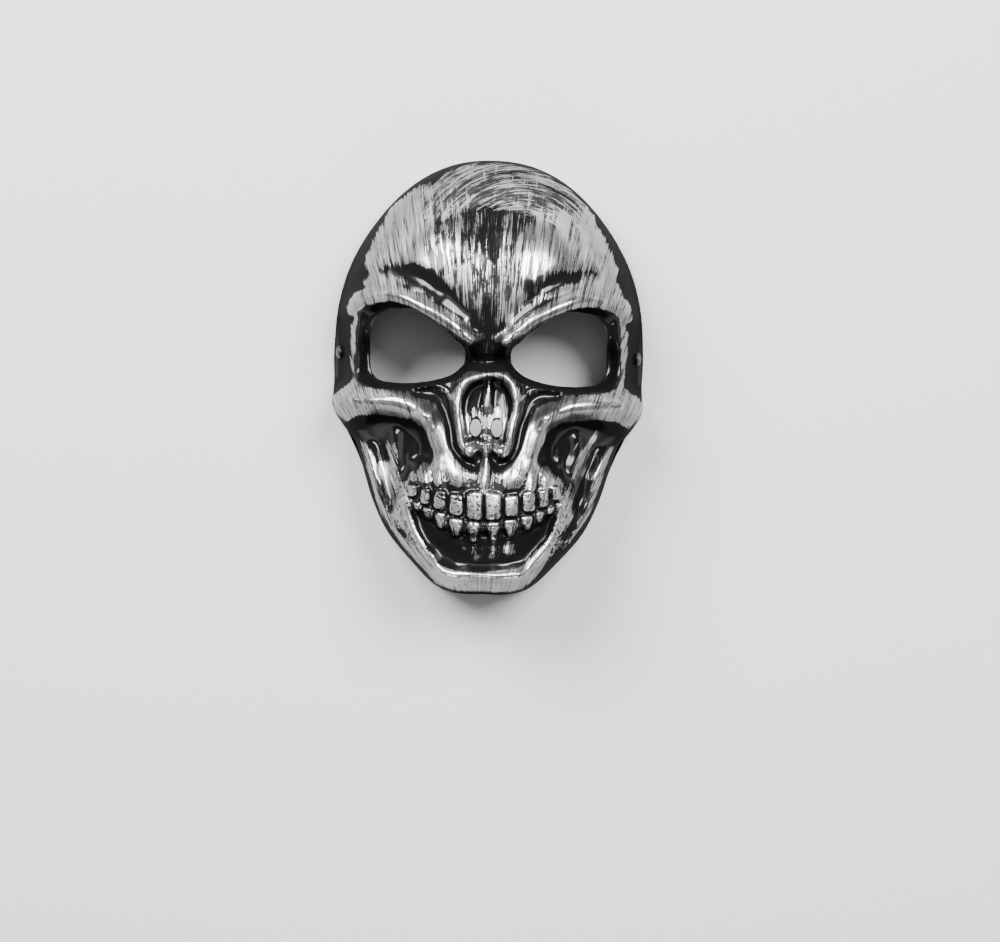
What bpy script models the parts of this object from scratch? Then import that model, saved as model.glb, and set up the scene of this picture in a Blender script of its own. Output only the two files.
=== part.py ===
"""A skull mask: a thin moulded shell with cast relief, an elastic strap and the two rivets that hold it.

Metres, +Z up. The mask lies on its rim as it would on a table, with its face up: the rim is at z = 0,
+Y points to the crown, +X is on the right as the mask is looked at, and the origin is the middle of the rim.
Places on the face are given as shares: across, from the middle line (0) to the widest point (1), and up,
from the chin (0) to the crown (1). Both halves of the face are alike, so tables hold the right half.
"""
from collections import namedtuple

import bmesh
import bpy
import numpy as np

# Driving dimensions
MASK_WIDTH = 0.158
MASK_HEIGHT = 0.220
FACE_DEPTH = 0.076
RELIEF = 0.010
WALL = 0.0015
CLEARANCE = 0.0003

NOSTRIL_WIDTH = 0.0054
NOSTRIL_HEIGHT = 0.0084

STRAP_WIDTH = 0.007
STRAP_THICKNESS = 0.001
STRAP_SAG = 0.055
STRAP_FOLD_RADIUS = 0.002
STRAP_END_LENGTH = 0.005

RIVET_SHANK_DIAMETER = 0.003
RIVET_HEAD_DIAMETER = 0.0065
RIVET_HEAD_HEIGHT = 0.0012
RIVET_RISE = 0.0105
RIVET_SIDES = 16
RIVET_EDGE_SHARE = 0.3
RIVET_CROWN_REACH, RIVET_CROWN_SHARE = 0.6, 0.8
RIVET_HOLE_REACH = 0.016

MAP_STEP = 0.0005
GRID_CELLS = 200
MAP_MARGIN = 0.006
EDGE_CROWDING = 0.8
KEPT_SHARE = 0.047
SKIRT = 0.003

HALF_WIDTH = MASK_WIDTH / 2
FACE_SIZE = np.array([HALF_WIDTH, MASK_HEIGHT])
MIDDLE_UP = 0.5
CENTRE_UP = 0.47
RIVET_UP = 0.548

# Outline of the rim
Rim = namedtuple("Rim", "across up")
RIM = (
    Rim(0.000, 1.000),
    Rim(0.260, 0.987),
    Rim(0.500, 0.942),
    Rim(0.720, 0.862),
    Rim(0.885, 0.765),
    Rim(0.970, 0.665),
    Rim(0.995, 0.560),
    Rim(0.990, 0.480),
    Rim(0.995, 0.425),
    Rim(0.925, 0.382),
    Rim(0.845, 0.345),
    Rim(0.790, 0.285),
    Rim(0.722, 0.210),
    Rim(0.625, 0.140),
    Rim(0.470, 0.075),
    Rim(0.310, 0.020),
    Rim(0.160, 0.001),
    Rim(0.000, 0.000),
)

# The smooth form under the relief, level by level: its depth on the middle line as a share of FACE_DEPTH,
# how far it has bowed back at a given share of the half width, and how squarely it turns down to the rim.
Section = namedtuple("Section", "up depth bow bow_across squareness")
SECTIONS = (
    Section(0.00, 0.84, 0.34, 0.62, 16.0),
    Section(0.06, 0.90, 0.36, 0.66, 15.0),
    Section(0.14, 0.88, 0.42, 0.72, 14.0),
    Section(0.22, 0.90, 0.46, 0.80, 12.0),
    Section(0.33, 0.90, 0.42, 0.92, 8.0),
    Section(0.43, 0.85, 0.32, 1.00, 5.5),
    Section(0.53, 0.82, 0.28, 1.00, 4.6),
    Section(0.60, 0.92, 0.28, 1.00, 4.2),
    Section(0.70, 1.00, 0.26, 1.00, 3.8),
    Section(0.80, 1.02, 0.22, 1.00, 3.4),
    Section(0.90, 1.00, 0.18, 1.00, 3.0),
    Section(1.00, 0.95, 0.16, 1.00, 2.8),
)
DEEPEST_BOW = 0.8
WALL_FADE = 0.30

# Broad swells and hollows: middle, half extents, rise as a share of RELIEF, and how flat the top is.
Swell = namedtuple("Swell", "across up half_across half_up rise flatness")
SWELLS = {
    "forehead_boss": Swell(0.40, 0.790, 0.340, 0.127, 0.22, 2),
    "forehead_furrow": Swell(0.00, 0.760, 0.130, 0.160, -0.16, 2),
    "brow_notch": Swell(0.00, 0.590, 0.036, 0.045, -0.30, 2),
    "brow_end": Swell(0.105, 0.564, 0.060, 0.017, 0.20, 2),
    "jaws": Swell(0.00, 0.205, 0.460, 0.090, 0.55, 4),
    "nose": Swell(0.00, 0.420, 0.220, 0.085, 0.30, 4),
    "chin": Swell(0.00, 0.033, 0.300, 0.030, 0.45, 4),
}

# Raised rolls and pressed grooves. Each follows a path of (across, up); its half breadth is a share of the
# half width and its rise a share of RELIEF, both from the path's start to its end.
Roll = namedtuple("Roll", "path breadth rise")
ROLLS = {
    "temple_line": Roll(
        [(0.84, 0.665), (0.775, 0.73), (0.745, 0.80), (0.68, 0.865), (0.55, 0.915)],
        (0.10, 0.12),
        (0.40, 0.10),
    ),
    "temple": Roll(
        [(0.96, 0.50), (0.95, 0.58), (0.92, 0.68), (0.875, 0.76), (0.78, 0.84)],
        (0.17, 0.14),
        (-1.2, -0.7),
    ),
    "brow_valley": Roll(
        [(0.78, 0.703), (0.62, 0.715), (0.46, 0.703), (0.32, 0.672), (0.20, 0.632)],
        (0.085, 0.06),
        (-0.26, -0.10),
    ),
    "brow_bulge": Roll(
        [(0.88, 0.665), (0.70, 0.686), (0.48, 0.674), (0.31, 0.640), (0.17, 0.598)],
        (0.08, 0.06),
        (0.22, 0.25),
    ),
    "brow_roll": Roll(
        [
            (0.89, 0.640), (0.83, 0.656), (0.72, 0.662), (0.58, 0.659), (0.45, 0.644), (0.32, 0.616),
            (0.20, 0.585), (0.11, 0.564),
        ],
        (0.052, 0.055),
        (0.45, 0.70),
    ),
    "socket_side": Roll(
        [(0.83, 0.64), (0.835, 0.60), (0.825, 0.55), (0.83, 0.50), (0.87, 0.45)],
        (0.055, 0.08),
        (0.30, 0.45),
    ),
    "cheekbone": Roll(
        [(0.945, 0.430), (0.83, 0.434), (0.69, 0.434), (0.56, 0.428), (0.45, 0.418), (0.37, 0.402)],
        (0.125, 0.070),
        (1.15, 0.55),
    ),
    "pillar": Roll(
        [(0.37, 0.402), (0.315, 0.379), (0.280, 0.348), (0.24, 0.317), (0.17, 0.28)],
        (0.070, 0.090),
        (0.50, 0.25),
    ),
    "socket_floor": Roll(
        [(0.44, 0.464), (0.33, 0.468), (0.25, 0.458), (0.225, 0.44)],
        (0.018, 0.018),
        (0.10, 0.14),
    ),
    "nose_groove": Roll(
        [
            (0.42, 0.452), (0.34, 0.451), (0.275, 0.433), (0.238, 0.404), (0.215, 0.372), (0.19, 0.341),
            (0.14, 0.310), (0.08, 0.293),
        ],
        (0.034, 0.030),
        (-0.20, -0.35),
    ),
    "nose_ring": Roll(
        [
            (0.040, 0.338), (0.070, 0.325), (0.112, 0.321), (0.146, 0.341), (0.163, 0.376), (0.182, 0.41),
            (0.182, 0.44), (0.160, 0.468), (0.118, 0.485), (0.06, 0.493), (0.0, 0.495),
        ],
        (0.040, 0.046),
        (0.42, 0.55),
    ),
    "septum": Roll([(0.0, 0.478), (0.0, 0.425)], (0.020, 0.034), (0.40, 0.25)),
    "spine": Roll([(0.0, 0.352), (0.0, 0.30), (0.0, 0.240)], (0.034, 0.028), (0.40, 0.14)),
    "nostril_sill": Roll([(0.092, 0.342), (0.040, 0.358), (0.0, 0.366)], (0.022, 0.024), (0.25, 0.30)),
    "spine_pit": Roll([(0.062, 0.315), (0.105, 0.300)], (0.050, 0.040), (-0.28, -0.10)),
    "outer_root": Roll([(0.455, 0.255), (0.455, 0.300), (0.44, 0.335)], (0.038, 0.025), (0.20, 0.06)),
    "middle_root": Roll([(0.375, 0.250), (0.385, 0.290), (0.37, 0.325)], (0.038, 0.028), (0.22, 0.08)),
    "inner_root": Roll([(0.280, 0.245), (0.290, 0.275), (0.28, 0.30)], (0.036, 0.030), (0.16, 0.06)),
    "jaw_edge": Roll(
        [
            (0.88, 0.385), (0.79, 0.335), (0.715, 0.27), (0.655, 0.205), (0.58, 0.150), (0.47, 0.095),
            (0.36, 0.052), (0.22, 0.030),
        ],
        (0.060, 0.075),
        (0.30, 0.30),
    ),
    "jaw_ridge": Roll(
        [(0.570, 0.36), (0.560, 0.30), (0.53, 0.24), (0.48, 0.175), (0.38, 0.110), (0.25, 0.062)],
        (0.050, 0.065),
        (0.25, 0.35),
    ),
    "jaw_valley": Roll(
        [(0.665, 0.34), (0.635, 0.27), (0.585, 0.20), (0.50, 0.140)],
        (0.035, 0.030),
        (-0.16, -0.08),
    ),
}
ROLL_REACH = 1.55

# Areas pressed in behind an outline: how deep and how soft their edge is, as shares of RELIEF.
Area = namedtuple("Area", "outline depth edge")
AREAS = {
    "cheek_hollow": Area(
        [
            (0.88, 0.375), (0.70, 0.398), (0.50, 0.388), (0.395, 0.360), (0.350, 0.315), (0.42, 0.285),
            (0.485, 0.262), (0.52, 0.24), (0.575, 0.20), (0.62, 0.215), (0.67, 0.275), (0.74, 0.33),
        ],
        1.15,
        1.1,
    ),
    "nose_cavity": Area(
        [
            (-0.10, 0.480), (0.05, 0.479), (0.105, 0.468), (0.148, 0.440), (0.148, 0.410), (0.132, 0.376),
            (0.112, 0.345), (0.06, 0.350), (-0.10, 0.350),
        ],
        0.75,
        0.25,
    ),
    "gum": Area(
        [
            (-0.20, 0.145), (0.10, 0.150), (0.25, 0.160), (0.36, 0.180), (0.43, 0.190), (0.41, 0.150),
            (0.31, 0.100), (0.20, 0.072), (-0.20, 0.066),
        ],
        0.45,
        0.6,
    ),
}

# The eye holes, and the sockets that slope down to them
EYE_HOLE = [
    (0.141, 0.542), (0.155, 0.518), (0.235, 0.494), (0.36, 0.481), (0.48, 0.476), (0.60, 0.477),
    (0.69, 0.485), (0.735, 0.508), (0.742, 0.545), (0.735, 0.592), (0.69, 0.626), (0.60, 0.638),
    (0.49, 0.636), (0.40, 0.624), (0.30, 0.600), (0.20, 0.570), (0.155, 0.557),
]
SOCKET = [
    (-0.10, 0.543), (-0.10, 0.512), (0.10, 0.506), (0.17, 0.488), (0.25, 0.474), (0.36, 0.466),
    (0.50, 0.462), (0.66, 0.464), (0.79, 0.474), (0.83, 0.50), (0.83, 0.55), (0.825, 0.60),
    (0.80, 0.632), (0.70, 0.647), (0.58, 0.646), (0.45, 0.631), (0.33, 0.603), (0.21, 0.573),
    (0.12, 0.554), (0.04, 0.548),
]
SOCKET_DEPTH = 1.30
SOCKET_DEPTH_UNDER_BROW = 0.70
BROW_START, BROW_FULL = 0.54, 0.60
SOCKET_REACH = 3.0
EYE_HOLE_STEPS = 3

NOSTRIL = Rim(0.065, 0.378)
NOSTRIL_SIDES = 14

# Teeth: middle, half breadth, top and bottom edges, rise as a share of RELIEF, narrowing towards the end
Tooth = namedtuple("Tooth", "across breadth top bottom rise taper")
TEETH = (
    Tooth(0.056, 0.052, 0.236, 0.178, 0.26, 0.06),
    Tooth(0.168, 0.050, 0.231, 0.185, 0.26, 0.06),
    Tooth(0.270, 0.043, 0.237, 0.196, 0.26, 0.06),
    Tooth(0.361, 0.037, 0.243, 0.208, 0.26, 0.06),
    Tooth(0.440, 0.028, 0.250, 0.224, 0.26, 0.06),
    Tooth(0.062, 0.043, 0.172, 0.128, 0.24, 0.50),
    Tooth(0.166, 0.043, 0.178, 0.140, 0.24, 0.50),
    Tooth(0.260, 0.039, 0.188, 0.155, 0.24, 0.50),
    Tooth(0.340, 0.030, 0.198, 0.171, 0.24, 0.50),
    Tooth(0.408, 0.024, 0.211, 0.189, 0.24, 0.50),
)
TOOTH_EDGE = 0.22
TOOTH_CORNER = 0.16
TOOTH_BARREL = 0.28
MOUTH_LINE = [(-0.10, 0.176), (0.06, 0.1755), (0.17, 0.1815), (0.27, 0.192), (0.36, 0.2035), (0.46, 0.220)]
MOUTH_BREADTH = 0.08
MOUTH_DEPTH = 0.10


def place(shares):
    """Points in the plane of the rim, in metres, from (across, up) shares."""
    return (np.asarray(shares, float) - [0.0, MIDDLE_UP]) * FACE_SIZE


def open_curve(points, steps=8):
    """A smooth curve through the points, from the first to the last."""
    p = np.asarray(points, float)
    p = np.vstack([2 * p[0] - p[1], p, 2 * p[-1] - p[-2]])
    t = np.linspace(0, 1, steps, endpoint=False)[:, None]
    spans = [
        0.5 * (2 * b + (c - a) * t + (2 * a - 5 * b + 4 * c - d) * t**2 + (3 * b - a - 3 * c + d) * t**3)
        for a, b, c, d in zip(p[:-3], p[1:-2], p[2:-1], p[3:])
    ]
    return np.vstack([*spans, p[-2:-1]])


def closed_curve(points, steps=8):
    """A smooth closed curve through the points; its last point repeats the first."""
    p = np.asarray(points, float)
    return open_curve(np.vstack([p[-1:], p, p[:2]]), steps)[steps:-steps]


def ease(t):
    """A smooth step from 0 to 1."""
    t = np.clip(t, 0, 1)
    return t * t * (3 - 2 * t)


def within_reach(x, y, line, reach):
    """Which points lie within reach of the box round a line."""
    low = line.min(axis=0) - reach
    high = line.max(axis=0) + reach
    return (x > low[0]) & (x < high[0]) & (y > low[1]) & (y < high[1])


def distance_to(x, y, line):
    """Each point's distance to a line, and how far along the line its nearest place is, as a share."""
    steps = np.diff(line, axis=0)
    lengths = np.hypot(*steps.T)
    travelled = np.concatenate([[0.0], np.cumsum(lengths)])
    nearest = np.full(x.shape, np.inf)
    share = np.zeros(x.shape)
    for start, step, length, before in zip(line, steps, lengths, travelled):
        dx = x - start[0]
        dy = y - start[1]
        t = np.clip((dx * step[0] + dy * step[1]) / max(length**2, 1e-18), 0, 1)
        gap = np.hypot(dx - t * step[0], dy - t * step[1])
        closer = gap < nearest
        nearest = np.where(closer, gap, nearest)
        share = np.where(closer, (before + t * length) / travelled[-1], share)
    return nearest, share


def depth_inside(x, y, outline, reach):
    """How far inside an outline each point lies: negative outside it, and -reach further off."""
    line = place(closed_curve(outline))
    depth = np.full(x.shape, -reach)
    here = within_reach(x, y, line, reach)
    px, py = x[here], y[here]
    inside = np.zeros(px.shape, bool)
    for (ax, ay), (bx, by) in zip(line[:-1], line[1:]):
        if ay != by:
            inside ^= ((ay > py) != (by > py)) & (px < ax + (py - ay) * (bx - ax) / (by - ay))
    gap, _ = distance_to(px, py, line)
    depth[here] = np.where(inside, gap, -gap)
    return depth


def rim_line():
    """The whole outline of the rim, closed, in metres."""
    left = [Rim(-row.across, row.up) for row in reversed(RIM[1:-1])]
    return place(closed_curve([*RIM, *left]))


def inset_rim_line(inset):
    """The outline of the rim, moved in by a distance square to itself."""
    line = rim_line()[:-1]
    along = np.roll(line, -1, axis=0) - np.roll(line, 1, axis=0)
    inward = np.column_stack([along[:, 1], -along[:, 0]]) / np.hypot(*along.T)[:, None]
    return line + inset * inward


def polar(x, y):
    """Direction and distance of points from the centre of the face."""
    dy = y - place((0.0, CENTRE_UP))[1]
    return np.arctan2(dy, x), np.hypot(x, dy)


def reach_of_rim(line, angle):
    """Distance from the centre of the face to a rim line in each direction."""
    angles, distances = polar(line[:, 0], line[:, 1])
    return np.interp(angle, angles, distances, period=2 * np.pi)


def section(up, column):
    """One column of SECTIONS, read smoothly at each level."""
    line = open_curve([(row.up, getattr(row, column)) for row in SECTIONS])
    return np.interp(up, line[:, 0], line[:, 1])


def smooth_height(x, up, angle, distance):
    """Height over the rim of the form without its relief."""
    share = np.clip(distance / reach_of_rim(rim_line()[:-1], angle), 0, 1)
    bow = section(up, "bow") * (x / (HALF_WIDTH * section(up, "bow_across"))) ** 2
    turn = np.sqrt(1 - share ** section(up, "squareness"))
    return FACE_DEPTH * section(up, "depth") * (1 - np.minimum(bow, DEEPEST_BOW)) * turn


def roll_height(x, y, roll):
    line = place(open_curve(roll.path))
    height = np.zeros(x.shape)
    here = within_reach(x, y, line, ROLL_REACH * max(roll.breadth) * HALF_WIDTH)
    gap, share = distance_to(x[here], y[here], line)
    half = np.interp(share, (0, 1), roll.breadth) * HALF_WIDTH
    rise = np.interp(share, (0, 1), roll.rise) * RELIEF
    height[here] = rise * (0.5 + 0.5 * np.cos(np.pi * np.clip(gap / half / ROLL_REACH, 0, 1)))
    return height


def socket_height(x, y):
    """A bowl that slopes from the rim of the socket down to the eye hole."""
    reach = SOCKET_REACH * RELIEF
    to_hole = np.maximum(-depth_inside(x, y, EYE_HOLE, reach), 0)
    to_edge = np.maximum(depth_inside(x, y, SOCKET, reach), 0)
    slope = to_hole / np.maximum(to_hole + to_edge, 1e-9)
    under_brow = ease((y / MASK_HEIGHT + MIDDLE_UP - BROW_START) / (BROW_FULL - BROW_START))
    depth = SOCKET_DEPTH + (SOCKET_DEPTH_UNDER_BROW - SOCKET_DEPTH) * under_brow
    return -depth * RELIEF * (1 - ease(slope)) * (to_edge > 0)


def tooth_height(x, y, tooth):
    """A block with round corners and a barrel front, narrower at its free end."""
    centre = place((tooth.across, (tooth.top + tooth.bottom) / 2))
    half_height = (tooth.top - tooth.bottom) / 2 * MASK_HEIGHT
    down = np.clip(0.5 - (y - centre[1]) / (2 * half_height), 0, 1)
    half = tooth.breadth * HALF_WIDTH * (1 - tooth.taper * down)
    corner = TOOTH_CORNER * RELIEF
    gx = np.abs(x - centre[0]) - half + corner
    gy = np.abs(y - centre[1]) - half_height + corner
    outside = np.hypot(np.maximum(gx, 0), np.maximum(gy, 0)) + np.minimum(np.maximum(gx, gy), 0) - corner
    round_front = np.sqrt(np.clip(1 - ((x - centre[0]) / half) ** 2, 0, 1))
    barrel = 1 - TOOTH_BARREL + TOOTH_BARREL * round_front
    return tooth.rise * RELIEF * ease(0.5 - outside / (TOOTH_EDGE * RELIEF)) * barrel


def teeth_height(x, y):
    height = np.max([tooth_height(x, y, tooth) for tooth in TEETH], axis=0)
    gap, _ = distance_to(x, y, place(open_curve(MOUTH_LINE)))
    return height - MOUTH_DEPTH * RELIEF * np.exp(-((gap / (MOUTH_BREADTH * RELIEF)) ** 2))


def outer_height(x, y):
    """Height of the front of the mask over the rim; 0 outside the rim."""
    side = np.abs(x)
    across = side / HALF_WIDTH
    up = y / MASK_HEIGHT + MIDDLE_UP
    height = smooth_height(x, up, *polar(x, y))
    relief = np.zeros(x.shape)
    for swell in SWELLS.values():
        off = ((np.abs(across - swell.across)) / swell.half_across) ** swell.flatness
        off = off + (np.abs(up - swell.up) / swell.half_up) ** swell.flatness
        relief += swell.rise * RELIEF * np.exp(-off)
    for area in AREAS.values():
        edge = area.edge * RELIEF
        relief -= area.depth * RELIEF * ease(0.5 + depth_inside(side, y, area.outline, edge) / edge)
    for roll in ROLLS.values():
        relief += roll_height(side, y, roll)
    relief += socket_height(side, y) + teeth_height(side, y)
    return height + relief * ease(height / (WALL_FADE * FACE_DEPTH))


def outer_map():
    """Height of the front over one half of the face, on a fine square map; rows go up, columns across."""
    across = np.arange(0, HALF_WIDTH + MAP_MARGIN, MAP_STEP)
    up = np.arange(place((0, 0))[1] - MAP_MARGIN, place((0, 1))[1] + MAP_MARGIN, MAP_STEP)
    return outer_height(*np.meshgrid(across, up))


def inner_map(front):
    """Height of the inside: nowhere nearer to the front than the wall."""
    cells = int(WALL / MAP_STEP)
    wide = np.pad(front, cells, mode="edge")
    wide[:, :cells] = wide[:, 2 * cells : cells : -1]
    rows, columns = front.shape
    height = np.full(front.shape, np.inf)
    for i in range(-cells, cells + 1):
        for j in range(-cells, cells + 1):
            drop = WALL**2 - (i**2 + j**2) * MAP_STEP**2
            if drop >= 0:
                moved = wide[cells + i : cells + i + rows, cells + j : cells + j + columns]
                height = np.minimum(height, moved - np.sqrt(drop))
    return height


def read_map(height_map, x, y):
    """Height between the points of a map, on either half of the face."""
    column = np.abs(x) / MAP_STEP
    row = (y - place((0, 0))[1] + MAP_MARGIN) / MAP_STEP
    j = np.clip(column.astype(int), 0, height_map.shape[1] - 2)
    i = np.clip(row.astype(int), 0, height_map.shape[0] - 2)
    s, t = column - j, row - i
    low = height_map[i, j] * (1 - s) + height_map[i, j + 1] * s
    high = height_map[i + 1, j] * (1 - s) + height_map[i + 1, j + 1] * s
    return low * (1 - t) + high * t


def disc_grid():
    """A square grid drawn out to a disc: directions and distances that crowd towards the edge."""
    line = np.linspace(-1, 1, GRID_CELLS + 1)
    u, v = np.meshgrid(line, line)
    x = u * np.sqrt(1 - v**2 / 2)
    y = v * np.sqrt(1 - u**2 / 2)
    distance = np.hypot(x, y)
    return np.arctan2(y * MASK_HEIGHT / 2, x * HALF_WIDTH), distance * (1 + EDGE_CROWDING * (1 - distance))


def skin(rim, height_map):
    """Grid of points over one side of the shell, turned straight down at the rim by the skirt."""
    angle, distance = disc_grid()
    reach = distance * reach_of_rim(rim, angle)
    x = reach * np.cos(angle)
    y = reach * np.sin(angle) + place((0.0, CENTRE_UP))[1]
    z = read_map(height_map, x, y)
    edge = np.ones(z.shape, bool)
    edge[1:-1, 1:-1] = False
    z[edge] = -SKIRT
    return np.dstack([x, y, z])


def new_object(name, mesh, material=None):
    obj = bpy.data.objects.new(name, mesh)
    bpy.context.scene.collection.objects.link(obj)
    if material:
        mesh.materials.append(material)
    return obj


def mesh_from(name, points, faces):
    mesh = bpy.data.meshes.new(name)
    mesh.from_pydata(np.asarray(points, float).tolist(), [], [np.asarray(face).tolist() for face in faces])
    mesh.validate()
    return mesh


def face_outwards(mesh):
    body = bmesh.new()
    body.from_mesh(mesh)
    bmesh.ops.recalc_face_normals(body, faces=body.faces)
    body.to_mesh(mesh)
    body.free()


def plain_material(name, colour, metallic, roughness):
    material = bpy.data.materials.new(name)
    material.use_nodes = True
    shader = material.node_tree.nodes["Principled BSDF"]
    shader.inputs["Base Color"].default_value = (*colour, 1.0)
    shader.inputs["Metallic"].default_value = metallic
    shader.inputs["Roughness"].default_value = roughness
    return material


def prism(name, outline, bottom, top, axis="Z"):
    """A cutter: a closed outline carried straight from bottom to top along an axis."""
    count = len(outline)
    lower = [(x, y, bottom) for x, y in outline]
    upper = [(x, y, top) for x, y in outline]
    points = lower + upper
    if axis == "X":
        points = [(z, x, y) for x, y, z in points]
    sides = [(i, (i + 1) % count, count + (i + 1) % count, count + i) for i in range(count)]
    faces = [tuple(reversed(range(count))), tuple(range(count, 2 * count)), *sides]
    mesh = mesh_from(name, points, faces)
    face_outwards(mesh)
    cutter = new_object(name, mesh)
    cutter.hide_render = True
    cutter.display_type = "WIRE"
    return cutter


def circle(x, y, width, height, sides):
    turns = np.linspace(0, 2 * np.pi, sides, endpoint=False)
    return [(x + width / 2 * np.cos(t), y + height / 2 * np.sin(t)) for t in turns]


def cut(obj, cutter):
    modifier = obj.modifiers.new(cutter.name, "BOOLEAN")
    modifier.operation = "DIFFERENCE"
    modifier.solver = "EXACT"
    modifier.object = cutter


def wall_at(height_map, y, z):
    """How far from the middle line one side of the temple wall stands at a height over the rim."""
    x = np.linspace(0, HALF_WIDTH, 2000)
    return x[read_map(height_map, x, np.full(x.shape, y)) > z].max()


# Where a rivet goes through the temple: the place on the outside, how far the wall leans in there, and how
# far out of that place its outer head and the near face of the strap lie, square to the wall.
Seat = namedtuple("Seat", "x y z lean head strap")


def temple_seat(front, inside):
    y, z = place((0.0, RIVET_UP))[1], RIVET_RISE
    head = RIVET_HEAD_DIAMETER / 2
    x = wall_at(front, y, z)
    lean = np.arctan2(wall_at(front, y, z - head) - wall_at(front, y, z + head), 2 * head)

    def out(height_map, dy, level):
        return (wall_at(height_map, y + dy, level) - x) * np.cos(lean) + (level - z) * np.sin(lean)

    footprint = (-head, 0, head)
    head_seat = max(out(front, dy, z + dz) for dy in footprint for dz in footprint)
    run = np.linspace(-STRAP_SAG / 2, STRAP_END_LENGTH, 12)
    levels = (CLEARANCE, z / 2, z, z + STRAP_END_LENGTH)
    strap_seat = min(out(inside, dy, level) for dy in run for level in levels)
    return Seat(x, y, z, lean, head_seat + CLEARANCE, strap_seat - CLEARANCE)


def at_temple(obj, seat, side):
    """Places an object made along +X at a rivet's seat, pointing out of the wall."""
    obj.location = (side * seat.x, seat.y, seat.z)
    obj.rotation_euler = (0, -seat.lean if side > 0 else np.pi + seat.lean, 0)


class StrapFold:
    """Bends the flat strap down the temple and round onto the surface that the mask lies on."""

    def __init__(self, seat):
        lean = seat.lean
        self.out = np.array([np.cos(lean), np.sin(lean)])
        self.down = np.array([np.sin(lean), -np.cos(lean)])
        self.start = np.array([seat.x, seat.z]) + seat.strap * self.out
        self.outer_radius = STRAP_FOLD_RADIUS + STRAP_THICKNESS
        level = self.start[1] - np.sin(lean) * self.outer_radius
        self.drop = (level - self.outer_radius - CLEARANCE) / np.cos(lean)
        self.turn = np.pi / 2 + lean
        self.middle = self.start + self.drop * self.down - self.outer_radius * self.out
        self.flat_from = self.drop + STRAP_FOLD_RADIUS * self.turn
        self.half_span = self.flat_from + self.middle[0]

    def at(self, run, offset):
        """A place run along from the rivet and offset off the face that lies against the wall."""
        radius = self.outer_radius - offset
        if run < self.drop:
            return self.start + run * self.down - offset * self.out
        if run < self.flat_from:
            turn = (run - self.drop) / STRAP_FOLD_RADIUS
            return self.middle + radius * (np.cos(turn) * self.out + np.sin(turn) * self.down)
        return self.middle - np.array([run - self.flat_from, radius])


def make_strap(material, eyelets, seat):
    """The elastic lies in an arc when unfolded; the arc's ends are folded up against the temples."""
    fold = StrapFold(seat)
    radius = (fold.half_span**2 + STRAP_SAG**2) / (2 * STRAP_SAG)
    half_turn = np.arctan2(fold.half_span, radius - STRAP_SAG) + STRAP_END_LENGTH / radius
    steps = int(np.ceil(2 * half_turn * radius / (STRAP_WIDTH / 2)))
    corners = ((-1, 0), (1, 0), (1, STRAP_THICKNESS), (-1, STRAP_THICKNESS))
    points = []
    for turn in np.linspace(-half_turn, half_turn, steps + 1):
        for edge, offset in corners:
            reach = radius + edge * STRAP_WIDTH / 2
            across = reach * np.sin(turn)
            x, z = fold.at(fold.half_span - abs(across), offset)
            points.append((np.sign(turn) * x, seat.y + radius - STRAP_SAG - reach * np.cos(turn), z))
    sides = [(j, (j + 1) % 4, 4 + (j + 1) % 4, 4 + j) for j in range(4)]
    faces = [tuple(4 * i + k for k in face) for i in range(steps) for face in sides]
    faces += [(3, 2, 1, 0), tuple(4 * steps + j for j in range(4))]
    mesh = mesh_from("elastic_strap", points, faces)
    face_outwards(mesh)
    strap = new_object("elastic_strap", mesh, material)
    for eyelet in eyelets:
        cut(strap, eyelet)
    return strap


def make_rivet(name, seat, side, material):
    """A round rivet: outer head, shank through the wall and the strap, and an inner head."""
    head = RIVET_HEAD_DIAMETER / 2
    shank = RIVET_SHANK_DIAMETER / 2
    inner_seat = seat.strap - STRAP_THICKNESS - CLEARANCE
    profile = (
        (0.0, seat.head + RIVET_HEAD_HEIGHT),
        (RIVET_CROWN_REACH * head, seat.head + RIVET_CROWN_SHARE * RIVET_HEAD_HEIGHT),
        (head, seat.head + RIVET_EDGE_SHARE * RIVET_HEAD_HEIGHT),
        (head, seat.head),
        (shank, seat.head),
        (shank, inner_seat),
        (head, inner_seat),
        (head, inner_seat - RIVET_EDGE_SHARE * RIVET_HEAD_HEIGHT),
        (RIVET_CROWN_REACH * head, inner_seat - RIVET_CROWN_SHARE * RIVET_HEAD_HEIGHT),
        (0.0, inner_seat - RIVET_HEAD_HEIGHT),
    )
    body = bmesh.new()
    points = [body.verts.new((x, 0, radius)) for radius, x in profile]
    edges = [body.edges.new(pair) for pair in zip(points, points[1:])]
    bmesh.ops.spin(
        body,
        geom=points + edges,
        cent=(0, 0, 0),
        axis=(1, 0, 0),
        angle=2 * np.pi,
        steps=RIVET_SIDES,
    )
    bmesh.ops.remove_doubles(body, verts=body.verts, dist=1e-6)
    bmesh.ops.recalc_face_normals(body, faces=body.faces)
    mesh = bpy.data.meshes.new(name)
    body.to_mesh(mesh)
    body.free()
    rivet = new_object(name, mesh, material)
    at_temple(rivet, seat, side)
    return rivet


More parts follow.
